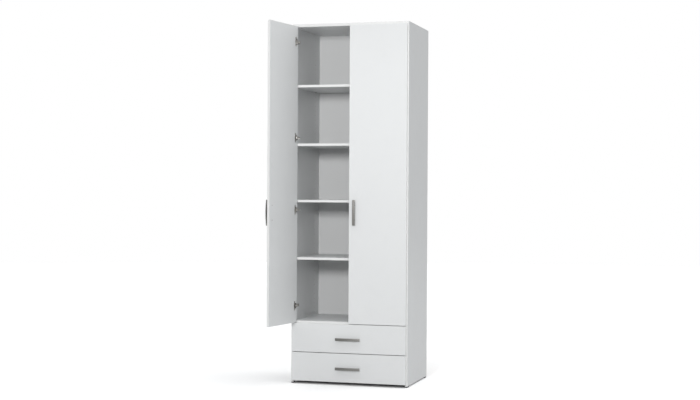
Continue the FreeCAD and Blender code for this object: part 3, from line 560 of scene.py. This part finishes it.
def bump(tree, shader, height, depth):
    """Raises the surface by a height, times a depth in metres."""
    node = add(tree, "ShaderNodeBump", {"Height": height, "Distance": depth, "Strength": 1.0})
    tree.links.new(node.outputs["Normal"], shader.inputs["Normal"])


def coat(tree, shader, colour, roughness):
    """Gives a shader its colour and its roughness."""
    feed(tree, shader.inputs["Base Color"], colour)
    feed(tree, shader.inputs["Roughness"], roughness)


def opaque(colour):
    """A colour with its alpha."""
    return (*colour[:3], 1.0)


# ---------------------------------------------------------------- finishes

# A board's marks, edge band, band seam and bare core: shade, roughness and height they add.
# Heights are in pore depths.
MARK_SHADE, MARK_DULLNESS = 0.985, 0.08
BAND_DULLNESS, CORE_DULLNESS = -0.07, 0.45
SEAM_COLOUR, SEAM_SHARE, SEAM_HEIGHT = (0.35, 0.33, 0.30, 1), 0.35, -4.0
CHIP_HEIGHT = 12.0
FOIL_SHINE = 0.42

# The back's bare face: its two browns and the pressed screen.
BROWN_DARK, BROWN_LIGHT = (0.20, 0.115, 0.06, 1), (0.36, 0.23, 0.13, 1)
SCREEN_TURNS = 4200.0  # radians a metre
SCREEN_HEIGHT, BACK_RELIEF = 5.0, 0.00001
BACK_ROUGHNESS, BARE_DULLNESS = 0.42, 0.4

BEECH_DARK, BEECH_LIGHT = (0.42, 0.26, 0.13, 1), (0.68, 0.49, 0.30, 1)
BEECH_ROUGHNESS, BEECH_HAZE, BEECH_RELIEF = 0.5, 0.2, 0.00003
SPECK_SHADE = 0.45
FLOOR_SHADE, FLOOR_ROUGHNESS = 0.98, 0.8


def board_finish(node, banded, rear_bare=0.0):
    """White foil on chipboard, with edge band on the named axes and a bare core in its holes, whose brown carries
    painted shade.

    rear_bare is how far the bare core runs on past the back edge.
    """
    look = bpy.context.scene.wardrobe_boards
    material, tree, shader, spot = new_material("foil_" + node)
    low, high = box_of(node)
    half, middle = (high - low) / 2, (high + low) / 2
    to_board = Matrix.Translation(-Vector(middle)) @ shut_matrix(node)
    local = add(tree, "ShaderNodeMapping",
                {"Vector": spot, "Location": to_board.translation,
                 "Rotation": to_board.to_euler()}).outputs["Vector"]
    grain = group_node(tree, "foil_grain", {"Vector": local, "Pores": 1 / look.pore_size})
    skin = look.foil_thickness
    banded_half = [half[place] if axis in banded else FAR for place, axis in enumerate("xyz")]
    core_half = [half[0] - skin, half[1] - look.band_thickness + rear_bare / 2, half[2] - skin]
    masks = group_node(tree, "board_masks",
                       {"Vector": local, "Banded half": banded_half, "Core half": core_half,
                        "Core middle": (0, rear_bare / 2, 0), "Band": look.band_thickness})
    chips = group_node(tree, "chipboard", {"Vector": local})
    white = look.foil_colour
    foil = mixed(tree, grain["Marks"], opaque(white), opaque([v * MARK_SHADE for v in white]))
    foil = mixed(tree, masks["Band"], foil, opaque(look.band_colour))
    seamed = mixed(tree, maths(tree, "MULTIPLY", masks["Joint"], SEAM_SHARE),
                   dimmed(tree, foil, grain["Shade"]), SEAM_COLOUR)
    rough = plus(tree, look.foil_roughness, grain["Marks"], MARK_DULLNESS)
    rough = plus(tree, rough, masks["Band"], BAND_DULLNESS)
    rough = plus(tree, rough, masks["Core"], CORE_DULLNESS)
    # The bare core takes the chip colours, darkened with painted shade for the drilled holes.
    coat(tree, shader, mixed(tree, masks["Core"], seamed, chips["Color"]), rough)
    bare = maths(tree, "MULTIPLY", masks["Core"], chips["Height"])
    height = plus(tree, grain["Height"], bare, CHIP_HEIGHT)
    bump(tree, shader, plus(tree, height, masks["Joint"], SEAM_HEIGHT), look.pore_depth)
    shader.inputs["Specular IOR Level"].default_value = FOIL_SHINE
    return material


def backing_finish():
    """Hardboard, lacquered white on its face and bare brown with a pressed screen behind."""
    look = bpy.context.scene.wardrobe_boards
    material, tree, shader, spot = new_material("lacquered_hardboard")
    low, high = box_of("back_panel_upper")
    middle = (low[1] + high[1]) / 2
    place = add(tree, "ShaderNodeSeparateXYZ", {0: spot}).outputs
    behind = ramped(tree, place[1], middle, middle + 0.2 * MILLIMETRE)
    grain = group_node(tree, "foil_grain", {"Vector": spot, "Pores": 1300.0, "Shading": 0.03})
    fibre = noise(tree, spot, 240.0, 6.0, 0.7)
    brown = mixed(tree, fibre, BROWN_DARK, BROWN_LIGHT)
    white = dimmed(tree, look.backing_colour, grain["Shade"])
    wave = [maths(tree, "SINE", maths(tree, "MULTIPLY", place[k], SCREEN_TURNS)) for k in (0, 2)]
    screen = maths(tree, "MULTIPLY", maths(tree, "MULTIPLY", *wave), behind)
    bump(tree, shader, plus(tree, grain["Height"], screen, SCREEN_HEIGHT), BACK_RELIEF)
    coat(tree, shader, mixed(tree, behind, white, brown),
         plus(tree, BACK_ROUGHNESS, behind, BARE_DULLNESS))
    return material


def metal_finish(name, colour, roughness, lines, line_depth, stretch=(1, 1, 1),
                 haze=0.12, streaks=0.28, specks=0.15):
    """Plated or brushed metal: brush lines in the roughness and height, and a hazy tint."""
    material, tree, shader, spot = new_material(name)
    grain = group_node(tree, "metal_grain", {"Vector": spot, "Stretch": stretch, "Lines": lines})
    dull = [value * (1 - haze) for value in colour]
    tint = mixed(tree, grain["Haze"], opaque(colour), opaque(dull))
    tint = mixed(tree, maths(tree, "MULTIPLY", grain["Specks"], specks), tint,
                 opaque([value * SPECK_SHADE for value in colour]))
    uneven = maths(tree, "SUBTRACT", grain["Lines"], 0.5)
    coat(tree, shader, tint, plus(tree, roughness, uneven, streaks))
    shader.inputs["Metallic"].default_value = 1.0
    bump(tree, shader, grain["Lines"], line_depth)
    return material


def moulded_finish(name, colour, roughness, peel, depth, scuff):
    """Moulded plastic or powder coat, with scuffs that dull and lighten it."""
    material, tree, shader, spot = new_material(name)
    skin = group_node(tree, "moulded_skin", {"Vector": spot, "Peel": peel})
    scuffed = [min(1.0, value + scuff * (0.5 - value) * 0.6) for value in colour]
    coat(tree, shader, mixed(tree, skin["Scuffs"], opaque(colour), opaque(scuffed)),
         plus(tree, roughness, skin["Scuffs"], scuff))
    bump(tree, shader, skin["Height"], depth)
    return material


def dowel_finish():
    """Beech with straight fibres along the dowel."""
    material, tree, shader, spot = new_material("beech_dowel")
    grain = group_node(tree, "metal_grain",
                       {"Vector": spot, "Stretch": (0.04, 1, 1), "Lines": 900.0})
    coat(tree, shader, mixed(tree, grain["Lines"], BEECH_DARK, BEECH_LIGHT),
         plus(tree, BEECH_ROUGHNESS, grain["Haze"], BEECH_HAZE))
    bump(tree, shader, grain["Lines"], BEECH_RELIEF)
    return material


BRUSHED = dict(roughness=0.34, lines=2600.0, line_depth=0.000008)
METALS = {
    "bar_across": ("handle_colour", dict(BRUSHED, stretch=(0.02, 1, 1))),
    "bar_upright": ("handle_colour", dict(BRUSHED, stretch=(1, 1, 0.02))),
    "nickel_plate": ("nickel_colour", dict(roughness=0.33, stretch=(1, 0.2, 1), lines=1400.0,
                                           line_depth=0.0000003, haze=0.05, streaks=0.05,
                                           specks=0.03)),
    "zinc_plate": ("zinc_colour", dict(roughness=0.38, lines=500.0, line_depth=0.00001,
                                       haze=0.25)),
}
MOULDINGS = {
    "runner_coat": ("coat_colour", dict(roughness=0.42, peel=1100.0, depth=0.00003, scuff=0.15)),
    "roller_nylon": ("nylon_colour", dict(roughness=0.36, peel=500.0, depth=0.00002, scuff=0.2)),
    "glide_plastic": ("glide_colour", dict(roughness=0.55, peel=900.0, depth=0.00005, scuff=0.3)),
}


def finish(name):
    """A shared finish, made the first time that it is asked for."""
    found = bpy.data.materials.get(name)
    if found:
        return found
    for table, maker in ((METALS, metal_finish), (MOULDINGS, moulded_finish)):
        if name in table:
            colour, settings = table[name]
            return maker(name, getattr(bpy.context.scene.wardrobe_fittings, colour), **settings)
    return {"lacquered_hardboard": backing_finish, "beech_dowel": dowel_finish}[name]()


# ---------------------------------------------------------------- sizes and colours

def colour_choice(name, description, default):
    """A colour that the sidebar can change."""
    return FloatVectorProperty(name=name, description=description, default=default,
                               subtype="COLOR", min=0.0, max=1.0, size=3)


def length_choice(name, description, default, highest):
    """A length in metres that the sidebar can change."""
    return FloatProperty(name=name, description=description, default=default, min=0.0,
                         max=highest, precision=5, subtype="DISTANCE", unit="LENGTH")


class WardrobeBoards(PropertyGroup):
    """Sizes and colours of the boards."""
    foil_colour: colour_choice("Foil", "Colour of the white foil", (0.705, 0.715, 0.718))
    band_colour: colour_choice("Edge band", "Colour of the edge band", (0.74, 0.745, 0.74))
    backing_colour: colour_choice("Backing", "Colour of the back's white face",
                                  (0.71, 0.715, 0.715))
    foil_roughness: FloatProperty(name="Foil roughness", description="Sheen of the foil",
                                  default=0.38, min=0.0, max=1.0, subtype="FACTOR")
    pore_size: length_choice("Pore size", "Distance between the foil's pores", 0.0011, 0.01)
    pore_depth: length_choice("Pore depth", "Depth of the foil's pores", 0.000012, 0.001)
    band_thickness: length_choice("Band thickness", "Thickness of the edge band", 0.0008, 0.003)
    foil_thickness: length_choice("Foil thickness", "Skin over the bare core", 0.0004, 0.003)
    rear_bare: length_choice("Bare rear", "How far the bare core runs past a back edge", 0.02, 0.1)
    front_edge: length_choice("Front edge", "Rounding of doors and drawer fronts",
                              0.0010, 0.003)
    board_edge: length_choice("Board edge", "Rounding of the other boards", 0.0006, 0.003)
    sheet_edge: length_choice("Sheet edge", "Rounding of the thin sheets", 0.0004, 0.0014)


class WardrobeFittings(PropertyGroup):
    """Sizes and colours of handles, hinges, runners and screws."""
    handle_colour: colour_choice("Handle", "Brushed metal of the handles", (0.305, 0.30, 0.285))
    nickel_colour: colour_choice("Nickel", "Plating of the hinges", (0.52, 0.505, 0.48))
    zinc_colour: colour_choice("Zinc", "Plating of screws and cams", (0.60, 0.61, 0.63))
    coat_colour: colour_choice("Runner coat", "Powder coat of the runners", (0.78, 0.78, 0.76))
    nylon_colour: colour_choice("Nylon", "Nylon of the rollers", (0.72, 0.71, 0.67))
    glide_colour: colour_choice("Glide", "Plastic of the glides", (0.055, 0.056, 0.06))
    bar_thickness: length_choice("Bar thickness", "Thickness of a handle's bar", 0.005, 0.01)
    bar_bow: length_choice("Bar bow", "How far a handle's bar bows out", 0.005, 0.02)
    bar_rounding: length_choice("Bar rounding", "Rounding of a handle's bar", 0.0016, 0.0024)
    sheet_metal_edge: length_choice("Pressing edge", "Rounding of pressed steel", 0.00022, 0.001)
    moulding_edge: length_choice("Moulding edge", "Rounding of rollers", 0.0006, 0.002)
    glide_edge: length_choice("Glide edge", "Rounding of the glides", 0.0018, 0.0035)


class WardrobeStudio(PropertyGroup):
    """The floor, the lights and the camera."""
    floor_colour: colour_choice("Floor", "Colour of the floor", (0.96, 0.96, 0.96))
    floor_radius: length_choice("Floor radius", "How far the floor reaches", 16.0, 100.0)
    room_light: FloatProperty(name="Room light", description="Light from the level of the floor",
                              default=0.12, min=0.0, max=5.0)
    sky_rise: FloatProperty(name="Light from above", description="How much more comes from above",
                            default=2.1, min=0.0, max=5.0)
    side_rise: FloatProperty(name="Light from the right",
                             description="How much more comes from the right than the middle",
                             default=0.50, min=-5.0, max=5.0)
    key_power: FloatProperty(name="Key light", description="Power of the large front light",
                             default=78.0, min=0.0, unit="POWER")
    key_spread: FloatProperty(name="Key light spread",
                              description="How widely the front light fans out",
                              default=math.radians(105), min=0.0, max=math.pi, subtype="ANGLE")
    top_power: FloatProperty(name="Top light", description="Power of the light overhead",
                             default=8.0, min=0.0, unit="POWER")
    lens: FloatProperty(name="Lens", description="Focal length in millimetres",
                        default=69.84, min=10.0, max=300.0)


# ---------------------------------------------------------------- operators

class WARDROBE_OT_carcass(Operator):
    """Side, top, base and fixed boards with their drilled rows"""
    bl_idname = "wardrobe.carcass"
    bl_label = "Carcass boards"

    def execute(self, context):
        look = context.scene.wardrobe_boards
        for side in SIDES:
            node = "side_panel_" + side
            softened(node, board_finish(node, "yz", look.rear_bare), look.board_edge)
        for node in ("top_panel", "shelf_fixed", "middle_panel", "base_panel"):
            softened(node, board_finish(node, "y", look.rear_bare), look.board_edge)
        return {"FINISHED"}


class WARDROBE_OT_shelves(Operator):
    """The three loose shelves"""
    bl_idname = "wardrobe.shelves"
    bl_label = "Loose shelves"

    def execute(self, context):
        edge = context.scene.wardrobe_boards.board_edge
        for node in ("shelf_upper", "shelf_middle", "shelf_lower"):
            shaped(node + "_board", node, [rounded_block(*box_of(node), edge)],
                   board_finish(node, "y"))
        return {"FINISHED"}


class WARDROBE_OT_backing(Operator):
    """The two sheets of hardboard at the back"""
    bl_idname = "wardrobe.backing"
    bl_label = "Back panels"

    def execute(self, context):
        edge = context.scene.wardrobe_boards.sheet_edge
        for node in ("back_panel_lower", "back_panel_upper"):
            shaped(node + "_sheet", node, [rounded_block(*box_of(node), edge, 2)],
                   finish("lacquered_hardboard"))
        return {"FINISHED"}


class WARDROBE_OT_doors(Operator):
    """Both doors, drilled for their hinge cups"""
    bl_idname = "wardrobe.doors"
    bl_label = "Doors"

    def execute(self, context):
        for side in SIDES:
            node = "door_" + side
            softened(node, board_finish(node, "xz"), context.scene.wardrobe_boards.front_edge)
        return {"FINISHED"}


class WARDROBE_OT_drawers(Operator):
    """Drawer fronts, sides, backs and bottoms"""
    bl_idname = "wardrobe.drawers"
    bl_label = "Drawers"

    def execute(self, context):
        look = context.scene.wardrobe_boards
        for drawer in DRAWERS:
            front = "drawer_front_" + drawer
            softened(front, board_finish(front, "xz"), look.front_edge)
            for side in SIDES:
                node = "drawer_side_%s_%s" % (drawer, side)
                softened(node, board_finish(node, "z"), look.board_edge)
            back, bottom = "drawer_back_" + drawer, "drawer_bottom_" + drawer
            shaped(back + "_board", back, [rounded_block(*box_of(back), look.board_edge)],
                   board_finish(back, "z"))
            shaped(bottom + "_sheet", bottom,
                   [rounded_block(*box_of(bottom), look.sheet_edge, 2)],
                   board_finish(bottom, ""))
        return {"FINISHED"}


def handle_grids(low, high, fittings, screws):
    """A bowed bar on two waisted posts, standing out from the face at the box's back."""
    size = high - low
    upright = size[2] > size[0]
    along = np.array([0.0, 0.0, 1.0]) if upright else np.array([1.0, 0.0, 0.0])
    outward = np.array([0.0, -1.0, 0.0])
    length = size[2] if upright else size[0]
    width = size[0] if upright else size[2]
    middle = (low + high) / 2
    middle[1] = low[1] + fittings.bar_thickness / 2 + fittings.bar_bow
    grids = [bowed_bar(middle, along, outward, length, width, fittings.bar_thickness,
                       fittings.bar_bow, fittings.bar_rounding)]
    for screw_low, screw_high in screws:
        foot = (screw_low + screw_high) / 2
        foot[1] = high[1]
        reach = abs((foot - middle) @ along)
        rise = high[1] - middle[1] + fittings.bar_bow * (1 - (2 * reach / length) ** 2)
        # How far up the post, in metres, and its radius there as a share of POST_RADIUS.
        waist = [(0, 0), (0, 0.93), (0.0006, 1), (0.0022, 1), (0.0038, 0.86), (rise * 0.5, 0.8),
                 (rise - 0.0045, 0.86), (rise - 0.001, 1.05), (rise, 0)]
        grids.append(turned_part(np.array(waist) * (1, POST_RADIUS), foot, outward))
    return grids


class WARDROBE_OT_handles(Operator):
    """The four bar handles"""
    bl_idname = "wardrobe.handles"
    bl_label = "Handles"

    def execute(self, context):
        fittings = context.scene.wardrobe_fittings
        for place in HANDLED:
            node = "handle_" + place
            low, high = box_of(node)
            metal = finish("bar_upright" if place.startswith("door") else "bar_across")
            grids = handle_grids(low, high, fittings, solids_of("handle_screws_" + place))
            shaped(node + "_bar", node, grids, metal)
        return {"FINISHED"}


def screw_set(node, axis, material, dome=0.0006):
    """A cross-headed screw for each solid of a node, its head where the axis points."""
    axis = np.asarray(axis, float)
    along = int(np.argmax(np.abs(axis)))
    across = (along + 1) % 3
    grids = []
    for low, high in solids_of(node):
        head = (low + high) / 2
        head[along] = high[along] if axis[along] > 0 else low[along]
        radius = (high - low)[across] / 2
        length = (high - low)[along]
        grids.append(cross_head(head - axis * dome, axis, radius * HEAD_SHARE, dome,
                                radius * SHANK_SHARE, length - dome))
    return shaped(node + "_cross_heads", node, grids, material)


class WARDROBE_OT_screws(Operator):
    """Handle screws and hinge cup screws with their cross recesses"""
    bl_idname = "wardrobe.screws"
    bl_label = "Screws"

    def execute(self, context):
        for place in HANDLED:
            screw_set("handle_screws_" + place, (0, 1, 0), finish("nickel_plate"))
        for side in SIDES:
            screw_set("hinge_cup_screws_" + side, (0, 1, 0), finish("nickel_plate"), 0.0003)
        return {"FINISHED"}


class WARDROBE_OT_hinges(Operator):
    """Hinge arms, plates, links and cups"""
    bl_idname = "wardrobe.hinges"
    bl_label = "Hinges"

    def execute(self, context):
        edge = context.scene.wardrobe_fittings.sheet_metal_edge
        for side in SIDES:
            for kind in ("hinge_arms_", "hinge_plates_", "hinge_cups_", "hinge_links_outer_",
                         "hinge_links_inner_"):
                softened(kind + side, finish("nickel_plate"), edge, 1.5 * MILLIMETRE)
        return {"FINISHED"}


class WARDROBE_OT_pins(Operator):
    """Turned pins that carry the loose shelves"""
    bl_idname = "wardrobe.pins"
    bl_label = "Shelf pins"

    def execute(self, context):
        middle = (CAD_BOX[0][0] + CAD_BOX[1][0]) / 2
        grids = []
        for low, high in solids_of("shelf_pins"):
            inward = 1.0 if low[0] < middle else -1.0
            radius = (high - low)[2] / 2
            length = (high - low)[0]
            start = (low + high) / 2
            start[0] = low[0] if inward > 0 else high[0]
            face = length * PIN_GROOVE
            groove = radius * PIN_GROOVE_DEPTH
            profile = [(0, 0), (0, radius * 0.8), (radius * 0.3, radius), (face, radius),
                       (face + 0.0002, groove), (face + 0.0008, groove),
                       (face + 0.001, radius), (length - radius * 0.35, radius),
                       (length - radius * 0.1, radius * 0.85), (length, radius * 0.5),
                       (length, 0)]
            grids.append(turned_part(profile, start, (inward, 0, 0), 24))
        shaped("shelf_pins_turned", "shelf_pins", grids, finish("nickel_plate"))
        return {"FINISHED"}


class WARDROBE_OT_cams(Operator):
    """Cam locks with recesses; bolts, dowels, plate and runner screws keep their plain shapes"""
    bl_idname = "wardrobe.cams"
    bl_label = "Cams, bolts and dowels"

    def execute(self, context):
        screw_set("cam_locks", (0, 0, -1), finish("zinc_plate"), 0.0002)
        for node, name in (("cam_bolts", "zinc_plate"), ("dowels", "beech_dowel"),
                           ("hinge_plate_screws", "nickel_plate"),
                           ("runner_screws", "zinc_plate")):
            NODES[node].data.materials.clear()
            NODES[node].data.materials.append(finish(name))
        return {"FINISHED"}


class WARDROBE_OT_runners(Operator):
    """Drawer runners, rails, rollers and brackets"""
    bl_idname = "wardrobe.runners"
    bl_label = "Runners"

    def execute(self, context):
        fittings = context.scene.wardrobe_fittings
        softened("cabinet_runners", finish("runner_coat"), fittings.sheet_metal_edge)
        for drawer in DRAWERS:
            softened("drawer_rails_" + drawer, finish("runner_coat"), fittings.sheet_metal_edge)
            softened("drawer_brackets_" + drawer, finish("zinc_plate"),
                     fittings.sheet_metal_edge)
            for kind in ("cabinet_rollers_", "drawer_rollers_"):
                softened(kind + drawer, finish("roller_nylon"), fittings.moulding_edge, 0.0)
        return {"FINISHED"}


class WARDROBE_OT_glides(Operator):
    """Glides under the side boards"""
    bl_idname = "wardrobe.glides"
    bl_label = "Glides"

    def execute(self, context):
        edge = context.scene.wardrobe_fittings.glide_edge
        grids = [rounded_block(low, high, edge, 4) for low, high in solids_of("glides")]
        shaped("glides_moulded", "glides", grids, finish("glide_plastic"))
        return {"FINISHED"}


def floor_finish():
    """Pale floor with slow shading, which throws back less light than it shows."""
    look = bpy.context.scene.wardrobe_studio
    material, tree, shader, spot = new_material("pale_floor")
    slow = noise(tree, spot, 1.7, 3.0)
    pale = mixed(tree, slow, opaque(look.floor_colour),
                 opaque([v * FLOOR_SHADE for v in look.floor_colour]))
    seen = tree.nodes.new("ShaderNodeLightPath").outputs["Is Camera Ray"]
    returned = opaque([v * FLOOR_RETURN for v in look.floor_colour])
    coat(tree, shader, mixed(tree, seen, returned, pale), FLOOR_ROUGHNESS)
    return material


def floor_disc(radius):
    """A flat disc under the wardrobe; its rings lie at the radius times a share squared."""
    middle = (Vector(CAD_BOX[0]) + Vector(CAD_BOX[1])) / 2
    angle = np.linspace(0, 2 * math.pi, 96, endpoint=False)
    reach = radius * np.linspace(0, 1, 25) ** 2
    disc = np.stack([middle.x + reach[:, None] * np.cos(angle),
                     middle.y + reach[:, None] * np.sin(angle),
                     np.full((len(reach), len(angle)), CAD_BOX[0][2])], axis=-1)
    return cleaned(mesh_of("pale_floor", [disc]))


def camera_matrix():
    """Stands at the viewing point, turned left by the yaw, then tipped and rolled."""
    yaw, pitch, roll = (math.radians(angle) for angle in CAMERA_TURN)
    forward = Vector((-math.sin(yaw) * math.cos(pitch), math.cos(yaw) * math.cos(pitch),
                      math.sin(pitch)))
    level = Vector((math.cos(yaw), math.sin(yaw), 0))
    upward = level.cross(forward)
    right = math.cos(roll) * level + math.sin(roll) * upward
    up = -math.sin(roll) * level + math.cos(roll) * upward
    turn = Matrix((right, up, -forward)).transposed().to_4x4()
    return Matrix.Translation(CAMERA_PLACE) @ turn


def soft_light(name, power, size, place, target):
    """A square light aimed at a point."""
    lamp = bpy.data.lights.new(name, "AREA")
    lamp.energy = power
    lamp.shape = "SQUARE"
    lamp.size = size
    lamp_object = bpy.data.objects.new(name, lamp)
    aim = (Vector(target) - Vector(place)).to_track_quat("-Z", "Y")
    lamp_object.matrix_world = Matrix.Translation(place) @ aim.to_matrix().to_4x4()
    bpy.context.scene.collection.objects.link(lamp_object)
    return lamp_object


def studio_world():
    """Light that grows with height and towards the right; the camera sees plain white."""
    look = bpy.context.scene.wardrobe_studio
    world = bpy.data.worlds.new("studio")
    world.use_nodes = True
    tree = world.node_tree
    tree.nodes.clear()
    seen = add(tree, "ShaderNodeBackground", {"Color": (1, 1, 1, 1), "Strength": 1.0})
    way = add(tree, "ShaderNodeSeparateXYZ",
              {0: tree.nodes.new("ShaderNodeTexCoord").outputs["Generated"]}).outputs
    height = maths(tree, "MAXIMUM", way[2], 0.0)
    falling = maths(tree, "MULTIPLY_ADD", maths(tree, "MULTIPLY", height, height),
                    look.sky_rise, look.room_light)
    sideways = maths(tree, "MULTIPLY_ADD", way[0], look.side_rise, falling)
    strength = maths(tree, "MAXIMUM", sideways, DIMMEST_SKY)
    lighting = add(tree, "ShaderNodeBackground", {"Color": SKY_COLOUR, "Strength": strength})
    ray = tree.nodes.new("ShaderNodeLightPath").outputs["Is Camera Ray"]
    either = add(tree, "ShaderNodeMixShader", {0: ray, 1: lighting.outputs[0], 2: seen.outputs[0]})
    leaving = tree.nodes.new("ShaderNodeOutputWorld")
    tree.links.new(either.outputs[0], leaving.inputs["Surface"])
    return world


class WARDROBE_OT_stage(Operator):
    """Plain pale floor, soft lights and the camera"""
    bl_idname = "wardrobe.stage"
    bl_label = "Floor, lights and camera"

    def execute(self, context):
        look = context.scene.wardrobe_studio
        scene = context.scene
        floor = bpy.data.objects.new("pale_floor", floor_disc(look.floor_radius))
        floor.data.materials.append(floor_finish())
        scene.collection.objects.link(floor)
        key = soft_light("key_light", look.key_power, KEY_SIZE, KEY_PLACE, KEY_AIM)
        key.data.spread = look.key_spread
        soft_light("top_light", look.top_power, TOP_SIZE, TOP_PLACE, TOP_AIM)

        scene.world = studio_world()
        scene.view_settings.view_transform = "Standard"

        lens = bpy.data.cameras.new("camera")
        lens.lens = look.lens
        lens.sensor_width = 36.0
        lens.sensor_fit = "HORIZONTAL"
        lens.clip_end = 100.0
        camera = bpy.data.objects.new("camera", lens)
        camera.matrix_world = camera_matrix()
        scene.collection.objects.link(camera)
        scene.camera = camera
        return {"FINISHED"}


OPERATORS = (
    WARDROBE_OT_carcass, WARDROBE_OT_shelves, WARDROBE_OT_backing, WARDROBE_OT_doors,
    WARDROBE_OT_drawers, WARDROBE_OT_handles, WARDROBE_OT_screws, WARDROBE_OT_hinges,
    WARDROBE_OT_pins, WARDROBE_OT_cams, WARDROBE_OT_runners, WARDROBE_OT_glides,
    WARDROBE_OT_stage,
)


class WARDROBE_PT_sidebar(Panel):
    """Sizes, colours and the makers of each piece"""
    bl_idname = "WARDROBE_PT_sidebar"
    bl_label = "Wardrobe"
    bl_space_type = "VIEW_3D"
    bl_region_type = "UI"
    bl_category = "Wardrobe"

    def draw(self, context):
        for title, settings in (("Boards", context.scene.wardrobe_boards),
                                ("Fittings", context.scene.wardrobe_fittings),
                                ("Studio", context.scene.wardrobe_studio)):
            box = self.layout.box()
            box.label(text=title)
            for key in settings.__annotations__:
                box.prop(settings, key)
        for operator in OPERATORS:
            self.layout.operator(operator.bl_idname)


CLASSES = (WardrobeBoards, WardrobeFittings, WardrobeStudio, *OPERATORS, WARDROBE_PT_sidebar)


def register():
    """Registers the classes and gives the scene its settings."""
    for cls in CLASSES:
        bpy.utils.register_class(cls)
    bpy.types.Scene.wardrobe_boards = PointerProperty(type=WardrobeBoards)
    bpy.types.Scene.wardrobe_fittings = PointerProperty(type=WardrobeFittings)
    bpy.types.Scene.wardrobe_studio = PointerProperty(type=WardrobeStudio)


def unregister():
    """Takes the settings and the classes away again."""
    del bpy.types.Scene.wardrobe_studio
    del bpy.types.Scene.wardrobe_fittings
    del bpy.types.Scene.wardrobe_boards
    for cls in reversed(CLASSES):
        bpy.utils.unregister_class(cls)


def main():
    """Makes every piece in order."""
    register()
    for operator in OPERATORS:
        group, action = operator.bl_idname.split(".")
        getattr(getattr(bpy.ops, group), action)()


if __name__ == "__main__":
    main()
